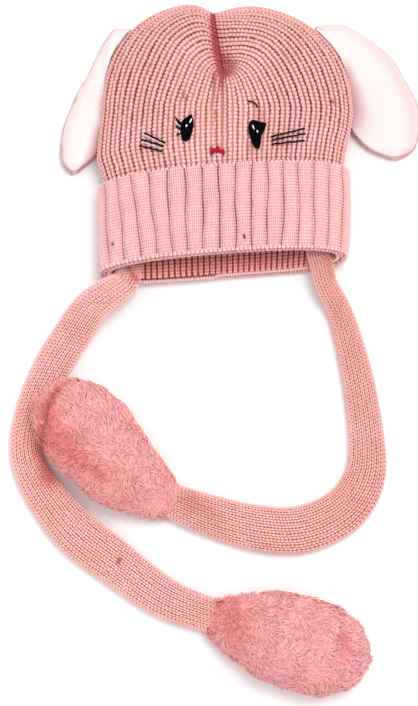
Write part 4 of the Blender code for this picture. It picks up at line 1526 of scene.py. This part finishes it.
@dataclass
class Mouth:
    """Inside of the hat's back that shows in its mouth, in narrow ribs, with a pale rolled hem."""

    form: HatForm
    knit: Knit = field(default_factory=lambda: Knit(
        ribs=86, wales=1, pitch=0.0027, relief=0.0016, seat=-0.0004, thickness=0.0013, groove_share=0.31,
        leg_width=0.60, lean=(0.30, 0.50), reach=0.74, seed=9,
    ))
    back_turns: tuple[float, float] = (0.20, 0.80)
    hem_loops: int = 170
    hem_height: float = 0.012
    hem_reach: float = 1.3
    hem_width: float = 0.62
    hem_size: float = 0.0016
    step_x: float = -0.0081
    step_slope: float = 0.002
    step_drop: float = 0.0014
    shade_share: float = 0.28
    bright_y: float = -0.056
    dark_y: float = -0.036

    def build(self) -> None:
        """Make the ribs of the inside and the hem."""
        lobes = LobeField(LobeShape())
        self.knit.lay(MouthSurface(self.form), lobes, *self.back_turns)
        MOUTH_YARN.dress(lobes.build("mouth_ribs", tint=self.shade))
        hem = LobeField(LobeShape())
        turns = np.arange(self.hem_loops) / self.hem_loops
        inset = self.form.cuff_wall + self.form.cuff_clearance + self.form.crown_wall * 0.5
        here = self.form.cuff_ring(turns, self.hem_height, inset)
        ahead = self.form.cuff_ring(turns + self.hem_reach / self.hem_loops, self.hem_height, inset)
        for row in (here, ahead):
            past_step = eased((self.step_x - row[:, 0]) / self.step_slope + 0.5)
            row[:, 1] -= self.step_drop * past_step * (row[:, 2] < self.form.widest_z)
        normal = np.broadcast_to(np.array([0.0, -1.0, 0.0]), here.shape)
        width = self.form.crown_wall * self.hem_width
        hem.lay(here, ahead, normal, width, self.hem_size, bend=0.26, depth=0.04)
        CUFF_YARN.dress(hem.build("mouth_hem"))

    def shade(self, points: np.ndarray) -> np.ndarray:
        """Painted shade on the ribs, deeper the farther they reach into the hat under the cuff."""
        return self.shade_share * eased((points[:, 1] - self.bright_y) / (self.dark_y - self.bright_y))


@dataclass
class Arm:
    """Plain knit sleeve."""

    surface: SleeveSurface
    knit: Knit = field(default_factory=lambda: Knit(
        ribs=19, wales=1, pitch=0.0027, relief=0.0, seat=0.0005, thickness=0.0010, aligned=True,
        groove_share=0.0, leg_width=0.475, lean=(0.30, 0.63), reach=0.62, skew=0.42, seed=11,
    ))
    core_sink: float = 0.0009
    columns: int = 28
    marked_above: float = 0.004

    def build(self) -> SleeveSurface:
        """Make the sleeve and the stitches on it.

        Returns:
            The sleeve's surface, which the paw goes on from.
        """
        word = self.surface.side.name.lower()
        turns = even_turns(self.columns)
        core = object_of(f"arm_core_{word}", sheet_of(self.surface.sunk(turns, self.core_sink), Weld.TUBE))
        ARM_CORE.dress(core)
        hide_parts(f"arm_{word}")
        lobes = LobeField(LobeShape())
        self.knit.lay(self.surface, lobes)
        # The left arm gets painted shade at its root and along its shaded stretch, a dark fleck and painted
        # light along its length; the right arm gets painted shade where it leaves the cuff, at its wrist and
        # faintly along its length.
        left = self.surface.side is Side.LEFT
        tint = summed_marks(LEFT_ARM_SHADE_AND_FLECK if left else RIGHT_ARM_SHADE, self.marked_above)
        glow = summed_marks(LEFT_ARM_LIGHT, 0.0) if left else None
        ARM_YARN.dress(lobes.build(f"arm_stitches_{word}", tint=tint, glow=glow))
        return self.surface


@dataclass
class Pile:
    """Locks of plush, which flow along a surface and curl in patches."""

    count: int
    length: tuple[float, float]
    width: float
    thickness: float
    lift: float
    curl: float
    curl_size: float
    seed: int
    sway: float = 0.16
    scatter: float = 0.25
    taper: float = 0.5
    columns: int = 96

    def lay(
        self,
        surface: Surface,
        lobes: LobeField,
        keep_low: float = 0.15,
        weight: np.ndarray | float = 1.0,
        turned_rows: int = 0,
    ) -> None:
        """Lay the locks on a surface.

        Args:
            surface: The skin that the pile grows from.
            lobes: The lobes that the locks are added to.
            keep_low: Share of the locks that are kept on the underside.
            weight: How thickly the pile grows on each cell of the surface.
            turned_rows: Rows at the start whose locks point backwards.
        """
        rng = np.random.default_rng(self.seed)
        turns = even_turns(self.columns)
        grid = surface.lines(turns)
        normals = surface.normals(turns)
        along = unit(np.gradient(grid, axis=0))
        corner = grid[:-1, :-1]
        area = np.linalg.norm(np.cross(grid[1:, :-1] - corner, grid[:-1, 1:] - corner), axis=2) * weight
        area[:turned_rows] *= 2.0
        area[-1] = 0.0
        chosen = rng.choice(area.size, self.count, p=area.ravel() / area.sum())
        row, column = np.unravel_index(chosen, area.shape)
        share = rng.random((self.count, 2, 1))
        spot = grid[row, column] + (grid[row + 1, column] - grid[row, column]) * share[:, 0]
        spot = spot + (grid[row, column + 1] - grid[row, column]) * share[:, 1]
        normal = normals[row, column]
        keep = (normal[:, 2] > -0.5) | (rng.random(self.count) < keep_low)
        spot, normal = spot[keep], normal[keep]
        flow = (along[row, column] * np.where(row < turned_rows, -1.0, 1.0)[:, None])[keep]
        beside = unit(np.cross(normal, flow))
        scatter = rng.normal(0.0, self.scatter, len(spot))
        angle = self.curl * ripple(spot, self.curl_size, self.seed) + scatter
        heading = flow * np.cos(angle)[:, None] + beside * np.sin(angle)[:, None]
        length = rng.uniform(*self.length, len(spot))
        start = spot - normal * self.thickness * 0.5
        rise = self.lift * rng.uniform(0.5, 1.2, len(spot))
        end = spot + heading * length[:, None] + normal * rise[:, None]
        # Locks that lie lower get more of the deep colour, as painted shade.
        lobes.lay(
            start, end, normal, self.width * rng.uniform(0.7, 1.3, len(spot)), self.thickness,
            bend=rng.normal(0.0, self.sway, len(spot)), taper=self.taper,
            depth=np.clip(0.35 - rise / self.lift * 0.3, 0.0, 1.0), shade=rng.normal(0.0, 0.6, len(spot)),
        )


@dataclass
class Paw:
    """Plush paw at the end of an arm."""

    surface: PawSurface
    pile: Pile = field(default_factory=lambda: Pile(
        count=7900, length=(0.0050, 0.0088), width=0.00095, thickness=0.0006, lift=0.0014, curl=1.9,
        curl_size=0.019, sway=0.30, seed=21,
    ))
    skin_columns: int = 48
    turned_rows: int = 5

    def build(self) -> None:
        """Make the skin and its pile."""
        word = self.surface.sleeve.side.name.lower()
        turns = even_turns(self.skin_columns)
        skin = object_of(f"paw_skin_{word}", sheet_of(self.surface.lines(turns), Weld.TUBE))
        PAW_SKIN.dress(skin)
        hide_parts(f"paw_{word}")
        lobes = LobeField(LobeShape(4, 4))
        self.pile.lay(self.surface, lobes, turned_rows=self.turned_rows)
        # The upper paw gets painted shade in its crease and along its lower side; the lower paw gets zones
        # of deeper colour at its wrist end and towards its tip.
        upper = self.surface.sleeve.side is Side.RIGHT
        tint = summed_marks(UPPER_PAW_SHADE if upper else LOWER_PAW_DEEPER_ZONES, 0.0)
        glow = summed_marks(UPPER_PAW_CREASE, 0.0) if upper else None
        PAW_PILE.dress(lobes.build(f"paw_pile_{word}", tint=tint, glow=glow))


@dataclass(frozen=True)
class EarTable:
    """Outline of an ear in its length, from the root to the tip."""

    outer_out: tuple[float, ...]
    outer_down: tuple[float, ...]
    inner_down: tuple[float, ...]
    inner_gap: tuple[float, ...]
    # shadow and dark_edge place painted shade beside the crown and a painted shadow line along the lower
    # edge, glow painted light towards the crown, and flush pink over the whole ear.
    shadow: tuple[float, float]
    dark_edge: float
    flush: float
    glow: float
    lift: tuple[float, ...] = (1.00, 0.74, 0.42, 0.16, 0.03, 0.0, 0.0, 0.0, 0.0, 0.0, 0.0)


LEFT_EAR = EarTable(
    outer_out=(-0.06, 0.03, 0.095, 0.16, 0.225, 0.30, 0.36, 0.405, 0.42, 0.41, 0.375),
    outer_down=(-0.12, -0.135, -0.08, 0.03, 0.17, 0.31, 0.46, 0.60, 0.74, 0.86, 0.94),
    inner_down=(0.12, 0.20, 0.28, 0.36, 0.44, 0.52, 0.61, 0.69, 0.77, 0.845, 0.92),
    inner_gap=(0.0, 0.0, 0.0, 0.0, 0.0, 0.0, 0.0, 0.0, 0.02, 0.07, 0.15),
    shadow=(7.8, 1.8),
    dark_edge=8.6,
    flush=0.0,
    glow=1.3,
)
RIGHT_EAR = EarTable(
    outer_out=(-0.06, 0.07, 0.21, 0.34, 0.475, 0.555, 0.63, 0.655, 0.645, 0.615, 0.555),
    outer_down=(-0.12, -0.175, -0.135, -0.055, 0.065, 0.215, 0.37, 0.50, 0.63, 0.75, 0.825),
    inner_down=(0.12, 0.185, 0.26, 0.34, 0.42, 0.49, 0.56, 0.63, 0.70, 0.77, 0.825),
    inner_gap=(0.0, 0.0, 0.0, 0.0, 0.0, 0.0, 0.0, 0.03, 0.10, 0.20, 0.30),
    shadow=(3.9, 3.0),
    dark_edge=5.6,
    flush=0.15,
    glow=0.0,
)
TRAY_SECTION = (
    (0.86, 0.00), (-0.86, 0.00), (-0.97, 0.25), (-1.00, 0.55), (-0.955, 0.80), (-0.88, 0.865),
    (-0.795, 0.80), (-0.74, 0.56), (0.00, 0.50), (0.74, 0.56), (0.795, 0.80), (0.88, 0.865),
    (0.955, 0.80), (1.00, 0.55), (0.97, 0.25), (0.86, 0.00),
)
SKIN_SECTION = (
    (0.86, 0.00), (-0.86, 0.00), (-0.97, 0.25), (-1.00, 0.55), (-0.95, 0.80), (-0.86, 0.92), (-0.78, 0.95),
    (-0.74, 0.96), (0.00, 1.00), (0.74, 0.96), (0.78, 0.95), (0.86, 0.92), (0.95, 0.80), (1.00, 0.55),
    (0.97, 0.25), (0.86, 0.00),
)
PANEL_SECTION = (
    (0.72, 0.60), (0.00, 0.54), (-0.72, 0.60), (-0.765, 0.74), (-0.78, 0.85), (-0.88, 0.89), (-0.965, 0.825),
    (-0.985, 0.85), (-0.93, 0.925), (-0.80, 0.96), (-0.40, 0.985), (0.00, 1.00), (0.40, 0.985), (0.80, 0.96),
    (0.93, 0.925), (0.985, 0.85), (0.965, 0.825), (0.88, 0.89), (0.78, 0.85), (0.765, 0.74), (0.72, 0.60),
)


@dataclass
class EarSurface(Surface):
    """Skin of an ear's tray or panel, from its root to its tip."""

    form: HatForm
    table: EarTable
    side: Side
    section: tuple[tuple[float, float], ...]
    first: float = 0.0
    last: float = 10.0
    length: float = 0.110
    thickness: float = 0.0100
    root_bow: float = 0.0024
    clearance: float = 0.0007
    root_rise: float = 0.62
    bow_end: float = 3.0
    tip_start: float = 8.6
    tip_end: float = 10.0
    steps: int = 64

    @property
    def places(self) -> np.ndarray:
        """Places along the ear, in the table's steps, of the rings."""
        return np.linspace(self.first, self.last, self.steps)

    def crown_side(self, y: float, z: float) -> float:
        """Distance of the crown's side from the middle of the hat.

        Args:
            y: Place along the hat.
            z: Level above the table.

        Returns:
            Distance in metres.
        """
        form = self.form
        side = self.side.value
        start = float(form.rim_y(side, 0.0)) + form.cuff_depth
        share = float(np.clip((y - start) / (form.shoulder_y - start), 0.0, 1.0))
        left, right, back, front = CROWN_TABLE.at(share)
        rise = float(np.clip((y - form.shoulder_y) / form.dome_rise, 0.0, 1.0))
        length, _, heights = form.dome
        place = float(np.interp(rise, heights[::-1], length[::-1]))
        half = (left if side < 0.0 else right) * form.half_width
        half *= float(rounded(rise, (form.dome_power, form.dome_power)))
        half -= side * form.fold_lean * rise * (1.0 - place) ** form.lean_power
        flatness = float(rounded(rise, form.dome_edge_powers))
        if z < form.widest_z:
            level = (form.widest_z - z) / max(1e-9, (form.widest_z - back * form.thickness) * flatness)
            return half * float(rounded(level, form.bottom_powers[::-1]))
        level = (z - form.widest_z) / max(1e-9, (front * form.thickness - form.widest_z) * flatness)
        return half * float(rounded(level, form.top_powers[::-1]))

    def beside(self, y: float, bottom: float) -> float:
        """Farthest that the crown's side reaches out beside a piece of the ear's thickness."""
        levels = np.linspace(bottom, bottom + self.thickness, 9)
        return max(self.crown_side(y, level) for level in levels) + self.clearance

    def lines(self, turns: np.ndarray) -> np.ndarray:
        """Points along the ear.

        Args:
            turns: Turns of the lines round the ear's section.

        Returns:
            Points as an array of steps, turns and three.
        """
        root_y = self.form.shoulder_y + self.form.dome_rise * self.root_rise
        root_x = self.crown_side(root_y, self.form.widest_z)
        root_bottom = self.form.widest_z - self.thickness / 2
        rings = []
        for place in self.places:
            across, height = self.section_at(turns)
            bottom = root_bottom * max(float(curve_at(self.table.lift, place)), 0.0)
            inner_y = root_y - float(curve_at(self.table.inner_down, place)) * self.length
            outer_y = root_y - float(curve_at(self.table.outer_down, place)) * self.length
            gap = max(float(curve_at(self.table.inner_gap, place)), 0.0) * self.length
            inner_x = self.beside(inner_y, bottom) + gap
            outer_x = root_x + float(curve_at(self.table.outer_out, place)) * self.length
            at_root = max(0.0, 1.0 - place)
            outer_x += (self.beside(outer_y, bottom) - outer_x) * at_root
            bow = self.root_bow * max(0.0, 1.0 - place / self.bow_end)
            past = max(0.0, (place - self.tip_start) / (self.tip_end - self.tip_start))
            across = across * math.sqrt(max(0.02, 1.0 - 0.95 * past ** 2))
            x = (inner_x + outer_x) / 2 + across * (outer_x - inner_x) / 2 + bow * (1.0 - across ** 2)
            y = (inner_y + outer_y) / 2 + across * (outer_y - inner_y) / 2
            z = np.maximum(bottom + height * self.thickness, FLOOR_GAP)
            rings.append(np.stack([self.side.value * x, y, z], axis=-1))
        return np.array(rings)

    def section_at(self, turns: np.ndarray) -> tuple[np.ndarray, np.ndarray]:
        """Place across and height of the section at turns round it.

        Args:
            turns: Shares of the way round the section.

        Returns:
            Place across, from -1 at the crown to 1 outside, and height in the ear's thickness.
        """
        corners = np.array(self.section)
        steps = np.linalg.norm(np.diff(corners * np.array([1.0, 0.25]), axis=0), axis=1)
        share = np.concatenate(([0.0], np.cumsum(steps))) / steps.sum()
        across = np.interp(np.mod(turns, 1.0), share, corners[:, 0])
        height = np.interp(np.mod(turns, 1.0), share, corners[:, 1])
        if self.side is Side.LEFT:
            return across[::-1], height[::-1]
        return across, height

    def pink_and_shade(self, turns: np.ndarray) -> tuple[np.ndarray, np.ndarray]:
        """Pinkness and lightness of the plush at each turn of each ring, the pinkness holding painted shade
        and the lightness painted light and shade.

        Args:
            turns: Shares of the way round the section.

        Returns:
            Share of the pink colour and lightness, each as an array of steps and turns; both carry painted
            shade beside the crown and along the lower edge, and the lightness carries painted light towards
            the crown.
        """
        depths = []
        shades = []
        for place in self.places:
            across, height = self.section_at(turns)
            centre, half = self.table.shadow
            # shadow is painted shade beside the crown and edge a painted shadow line along the ear's lower
            # edge; band and back are the pink of the plush round its edge and behind, and tip adds pink
            # towards the tip.
            shadow = eased((-across - 0.20) / 0.78) * math.exp(-((place - centre) / half) ** 4)
            from_root = float(eased((place - 1.5) / 3.0))
            band = np.exp(-((across - 0.82) / 0.22) ** 2) * (0.24 + 0.14 * from_root)
            tip = float(eased((place - 8.8) / 1.2)) * 0.2
            back = eased((0.40 - height) / 0.3) * 0.4
            edge = eased((-across - 0.94) / 0.05) * float(eased((place - self.table.dark_edge) / 1.2))
            depths.append(np.clip(band + tip + back + shadow + edge + self.table.flush, 0.0, 1.0))
            # The lightness adds painted light towards the crown on the left ear and takes off painted shade
            # for shadow and edge.
            shades.append(self.table.glow * eased((0.3 - across) / 0.6) - 5.0 * shadow - 4.0 * edge)
        return np.array(depths), np.array(shades)


@dataclass
class Ear:
    """Lop ear of plush, pink behind and round its edge and white inside."""

    form: HatForm
    table: EarTable
    side: Side
    fuzz: Pile = field(default_factory=lambda: Pile(
        count=1500, length=(0.0022, 0.0042), width=0.0005, thickness=0.0004, lift=0.0006, curl=0.6,
        curl_size=0.020, seed=31,
    ))
    tray_columns: int = 72
    panel_columns: int = 56
    skin_columns: int = 48
    border_start: float = 0.88

    def build(self) -> None:
        """Make the tray and the panel in it."""
        word = self.side.name.lower()
        tray = EarSurface(self.form, self.table, self.side, TRAY_SECTION)
        turns = even_turns(self.tray_columns)
        back = object_of(f"ear_tray_{word}", sheet_of(tray.lines(turns), Weld.TUBE, *tray.pink_and_shade(turns)))
        EAR_BACK.dress(back)
        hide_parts(f"ear_back_{word}")
        panel = EarSurface(self.form, self.table, self.side, PANEL_SECTION, first=0.05, last=9.95)
        turns = even_turns(self.panel_columns)
        front = object_of(f"ear_panel_{word}", sheet_of(panel.lines(turns), Weld.TUBE, *panel.pink_and_shade(turns)))
        EAR_PLUSH.dress(front)
        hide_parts(f"ear_front_{word}")
        self.lay_fuzz(word)

    def lay_fuzz(self, word: str) -> None:
        """Short fuzz along the border of the ear, which softens its outline.

        Args:
            word: The ear's side in words.
        """
        skin = EarSurface(self.form, self.table, self.side, SKIN_SECTION)
        lobes = LobeField(LobeShape(4, 3))
        across = skin.section_at(even_turns(self.fuzz.columns)[:-1])[0]
        border = np.where(across > self.border_start, 1.0, 0.0)
        self.fuzz.lay(skin, lobes, keep_low=0.3, weight=np.tile(border, (skin.steps - 1, 1)))
        turns = even_turns(self.skin_columns)
        depth, shade = skin.pink_and_shade(turns)
        table = KDTree(depth.size)
        for index, spot in enumerate(skin.lines(turns).reshape(-1, 3)):
            table.insert(spot, index)
        table.balance()

        def nearest(values: np.ndarray) -> PlaceValue:
            """Function that gives the value of the skin's nearest point for places."""
            return lambda points: np.array([values[table.find(point)[1]] for point in points])

        fuzz = lobes.build(f"ear_fuzz_{word}", tint=nearest(depth.ravel()), glow=nearest(shade.ravel()))
        EAR_PLUSH.dress(fuzz)


@dataclass(frozen=True)
class Motif:
    """Outline of an embroidered patch in its own size, and where it lies on the crown."""

    centre: tuple[float, float]
    size: float
    outline: tuple[tuple[float, float], ...]
    lean: float
    spacing: float = 0.00055

    def rows(self) -> list[tuple[float, float, float, float]]:
        """Ends of the parallel threads that fill the patch.

        Returns:
            X and Y of the start, then of the end, of each thread.
        """
        angle = math.radians(self.lean)
        turned = np.array([[math.cos(angle), math.sin(angle)], [-math.sin(angle), math.cos(angle)]])
        outline = np.array(self.outline) * self.size @ turned.T
        following = np.roll(outline, -1, axis=0)
        ends = []
        for level in np.arange(outline[:, 1].min() + self.spacing / 2, outline[:, 1].max(), self.spacing):
            crosses = (outline[:, 1] > level) != (following[:, 1] > level)
            low, high = outline[crosses], following[crosses]
            share = (level - low[:, 1]) / (high[:, 1] - low[:, 1])
            places = np.sort(low[:, 0] + (high[:, 0] - low[:, 0]) * share)
            for start, end in zip(places[::2], places[1::2]):
                corners = np.array([[start, level], [end, level]]) @ turned + np.array(self.centre)
                ends.append(tuple(corners.ravel()))
        return ends


LEFT_EYE = Motif(
    centre=(-0.0314, 0.0554), size=0.0176, lean=20.0,
    outline=(
        (0.15, 0.52), (-0.06, 0.38), (-0.19, 0.24), (-0.23, 0.05), (-0.235, -0.22), (-0.17, -0.41),
        (-0.02, -0.48), (0.12, -0.35), (0.18, -0.16), (0.235, 0.08), (0.22, 0.33),
    ),
)
RIGHT_EYE = Motif(
    centre=(0.0228, 0.0513), size=0.0176, lean=-14.0,
    outline=(
        (-0.17, 0.48), (-0.25, 0.40), (-0.30, 0.21), (-0.27, -0.03), (-0.17, -0.34), (-0.06, -0.52),
        (0.09, -0.53), (0.14, -0.31), (0.165, -0.06), (0.27, 0.12), (0.34, 0.37), (0.15, 0.40),
        (-0.03, 0.47),
    ),
)
NOSE = Motif(
    centre=(-0.0077, 0.0369), size=0.0112, lean=90.0,
    outline=(
        (0.52, -0.06), (0.44, 0.16), (0.20, 0.10), (0.08, 0.36), (-0.06, 0.38), (-0.16, 0.12), (-0.36, 0.22),
        (-0.50, 0.34), (-0.52, -0.16), (-0.42, -0.32), (-0.26, -0.08), (-0.10, -0.02), (0.0, -0.14),
        (0.12, -0.04), (0.30, -0.12), (0.44, -0.34),
    ),
)


@dataclass
class Face:
    """Embroidered eyes, nose, lashes, brow and whiskers on the front of the crown."""

    form: HatForm
    nodes: dict[str, bpy.types.Object]
    patch_lift: float = 0.0019
    line_lift: float = 0.0014
    thread_width: float = 0.00042
    line_width: float = 0.00080
    pale_width: float = 0.00040
    stitch: float = 0.0022
    wave: float = 0.00022
    seed: int = 41
    whiskers: tuple[tuple[float, ...], ...] = (
        (-0.0646, 0.0527, -0.0481, 0.0435), (-0.0669, 0.0476, -0.0494, 0.0411),
        (-0.0682, 0.0426, -0.0507, 0.0373), (0.0336, 0.0484, 0.0603, 0.0562),
        (0.0342, 0.0457, 0.0609, 0.0522), (0.0342, 0.0426, 0.0602, 0.0466),
    )
    lashes: tuple[tuple[float, ...], ...] = (
        (-0.0404, 0.0640, -0.0361, 0.0591), (-0.0403, 0.0572, -0.0358, 0.0543),
        (-0.0394, 0.0500, -0.0353, 0.0512), (-0.0392, 0.0612, -0.0361, 0.0576),
    )
    brow: tuple[tuple[float, float], ...] = (
        (0.0164, 0.0771), (0.0196, 0.0767), (0.0222, 0.0747), (0.0234, 0.0722),
    )
    pale_lines: tuple[tuple[float, ...], ...] = (
        (-0.0642, 0.0506, -0.0490, 0.0424), (-0.0664, 0.0455, -0.0502, 0.0393),
        (-0.0402, 0.0606, -0.0366, 0.0568), (-0.0400, 0.0540, -0.0366, 0.0522),
        (-0.0371, 0.0523, -0.0363, 0.0485),
    )
    shines: tuple[tuple[float, ...], ...] = (
        (-0.0294, 0.0592, -0.0276, 0.0630, 0.00062), (-0.0321, 0.0560, -0.0314, 0.0580, 0.00075),
        (0.0207, 0.0538, 0.0193, 0.0576, 0.00062), (0.0236, 0.0512, 0.0228, 0.0534, 0.00055),
        (-0.0078, 0.0336, -0.0076, 0.0352, 0.00075),
    )

    def spots(self, x: np.ndarray, y: np.ndarray, lift: float) -> np.ndarray:
        """Points above the crown's front."""
        return np.stack([x, y, self.form.front_level(x, y) + lift], axis=-1)

    def thread(self, lobes: LobeField, x: np.ndarray, y: np.ndarray, width: float, lift: float) -> None:
        """Lay a thread in short stitches through places on the front.

        Args:
            lobes: The lobes that the thread is added to.
            x: Places across the hat.
            y: Places along the hat.
            width: Half of the thread's width.
            lift: Height of the thread above the crown.
        """
        points = self.spots(x, y, lift)
        overlap = np.diff(points, axis=0) * 0.14
        up = np.broadcast_to(UPWARD, overlap.shape)
        lobes.lay(points[:-1] - overlap, points[1:] + overlap, up, width, width * 0.9)

    def line(self, lobes: LobeField, ends: tuple[float, ...], width: float, lift: float) -> None:
        """Lay a nearly straight thread between two places.

        Args:
            lobes: The lobes that the thread is added to.
            ends: X and Y of the start, then of the end.
            width: Half of the thread's width.
            lift: Height of the thread above the crown.
        """
        x0, y0, x1, y1 = ends
        count = max(3, int(math.hypot(x1 - x0, y1 - y0) / self.stitch) + 1)
        share = np.linspace(0.0, 1.0, count)
        wave = self.wave * np.sin(share * 17.0 + x0 * 900.0)
        self.thread(lobes, x0 + (x1 - x0) * share, y0 + (y1 - y0) * share + wave, width, lift)

    def satin(self, name: str, motif: Motif, finish: Finish) -> bpy.types.Object:
        """Cover a patch with parallel threads.

        Args:
            name: Name of the new piece.
            motif: The patch.
            finish: Finish of the threads.

        Returns:
            The new piece.
        """
        lobes = LobeField(LobeShape(6, 6))
        rng = np.random.default_rng(self.seed)
        rows = np.array(motif.rows())
        start = self.spots(rows[:, 0], rows[:, 1], self.patch_lift - 0.0003)
        end = self.spots(rows[:, 2], rows[:, 3], self.patch_lift - 0.0003)
        up = np.broadcast_to(UPWARD, start.shape)
        reach = unit(end - start) * 0.0006
        lobes.lay(
            start - reach, end + reach, up, self.thread_width, self.thread_width, sag=0.0003,
            depth=rng.uniform(0.0, 0.6, len(rows)), shade=rng.normal(0.0, 1.0, len(rows)),
        )
        piece = lobes.build(name)
        finish.dress(piece)
        return piece

    def build(self) -> None:
        """Make all the embroidery."""
        for name in ("eye_left", "eye_right"):
            self.nodes[name].data.materials.clear()
            self.nodes[name].data.materials.append(BLACK_THREAD.material())
        self.satin("eye_threads_left", LEFT_EYE, BLACK_THREAD)
        self.satin("eye_threads_right", RIGHT_EYE, BLACK_THREAD)
        nose = self.satin("nose_threads", NOSE, RED_THREAD)
        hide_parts("nose")
        dark = LobeField(LobeShape(6, 6))
        for ends in self.whiskers + self.lashes:
            self.line(dark, ends, self.line_width, self.line_lift)
        places = np.linspace(0.0, len(self.brow) - 1.0, 10)
        brow_x, brow_y = np.array([curve_at(self.brow, place) for place in places]).T
        self.thread(dark, brow_x, brow_y, self.line_width, self.line_lift)
        BLACK_THREAD.dress(dark.build("lashes_and_whiskers"))
        pale = LobeField(LobeShape(6, 6))
        for ends in self.pale_lines:
            self.line(pale, ends, self.pale_width, self.line_lift - 0.0001)
        for x0, y0, x1, y1, width in self.shines:
            spots = self.spots(np.array([x0, x1]), np.array([y0, y1]), self.patch_lift + 0.0001)
            pale.lay(spots[:1], spots[1:], UPWARD[None], width, 0.0004)
        WHITE_THREAD.dress(pale.build("pale_threads"))


@dataclass
class Studio:
    """White table, soft light and the camera of the picture."""

    table_size: float = 4.0
    camera_place: tuple[float, float, float] = (-0.0143, -0.3427, 1.0760)
    camera_aim: tuple[float, float, float] = (-0.0143, -0.1140, 0.0)
    lens: float = 71.9
    sensor_width: float = 36.0
    sky_strength: float = 0.95
    key_place: tuple[float, float, float] = (0.35, 0.15, 1.5)
    key_aim: tuple[float, float, float] = (0.0, -0.05, 0.0)
    key_size: float = 0.8
    key_power: float = 10.0

    def build(self) -> None:
        """Set up the table, the lights and the camera."""
        self.lay_table()
        self.hang_lights()
        self.place_camera()

    def lay_table(self) -> None:
        """White table top, which is not part of the hat."""
        top = bmesh.new()
        bmesh.ops.create_grid(top, x_segments=8, y_segments=8, size=self.table_size / 2)
        mesh = bpy.data.meshes.new("table_top")
        top.to_mesh(mesh)
        top.free()
        table = bpy.data.objects.new("table_top", mesh)
        bpy.context.scene.collection.objects.link(table)
        paint = bpy.data.materials.new("white table")
        paint.use_nodes = True
        shader = paint.node_tree.nodes["Principled BSDF"]
        shader.inputs["Base Color"].default_value = (0.93, 0.93, 0.93, 1.0)
        shader.inputs["Roughness"].default_value = 0.9
        mesh.materials.append(paint)

    def hang_lights(self) -> None:
        """Even white surroundings and one large soft lamp at the upper right."""
        scene = bpy.context.scene
        scene.view_settings.view_transform = "Standard"
        world = scene.world or bpy.data.worlds.new("soft white")
        scene.world = world
        world.use_nodes = True
        sky = world.node_tree.nodes["Background"]
        sky.inputs["Color"].default_value = (1.0, 1.0, 1.0, 1.0)
        sky.inputs["Strength"].default_value = self.sky_strength
        lamp = bpy.data.lights.new("key lamp", "AREA")
        lamp.shape = "DISK"
        lamp.size = self.key_size
        lamp.energy = self.key_power
        holder = bpy.data.objects.new("key lamp", lamp)
        scene.collection.objects.link(holder)
        holder.location = self.key_place
        aim = Vector(self.key_aim) - Vector(self.key_place)
        holder.rotation_euler = aim.to_track_quat("-Z", "Y").to_euler()

    def place_camera(self) -> None:
        """Camera above the hat, looking down from its lower side."""
        data = bpy.data.cameras.new("camera")
        data.lens = self.lens
        data.sensor_width = self.sensor_width
        camera = bpy.data.objects.new("camera", data)
        bpy.context.scene.collection.objects.link(camera)
        camera.location = self.camera_place
        aim = Vector(self.camera_aim) - Vector(self.camera_place)
        camera.rotation_euler = aim.to_track_quat("-Z", "Y").to_euler()
        bpy.context.scene.camera = camera


def main(nodes: dict[str, bpy.types.Object]) -> None:
    """Build every piece of the hat and its surroundings.

    Args:
        nodes: The solids of the hat by name.
    """
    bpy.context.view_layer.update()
    Studio().build()
    form = HatForm()
    Crown(form).build()
    Cuff(form).build()
    Mouth(form).build()
    for side, arm, paw, ear in (
        (Side.LEFT, LEFT_ARM, LEFT_PAW, LEFT_EAR), (Side.RIGHT, RIGHT_ARM, RIGHT_PAW, RIGHT_EAR),
    ):
        sleeve = Arm(SleeveSurface(form, arm, side)).build()
        Paw(PawSurface(sleeve, paw)).build()
        Ear(form, ear, side).build()
    Face(form, nodes).build()


if __name__ == "__main__":
    logging.basicConfig(level=logging.INFO, format="%(message)s")
    main(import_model()["nodes"])
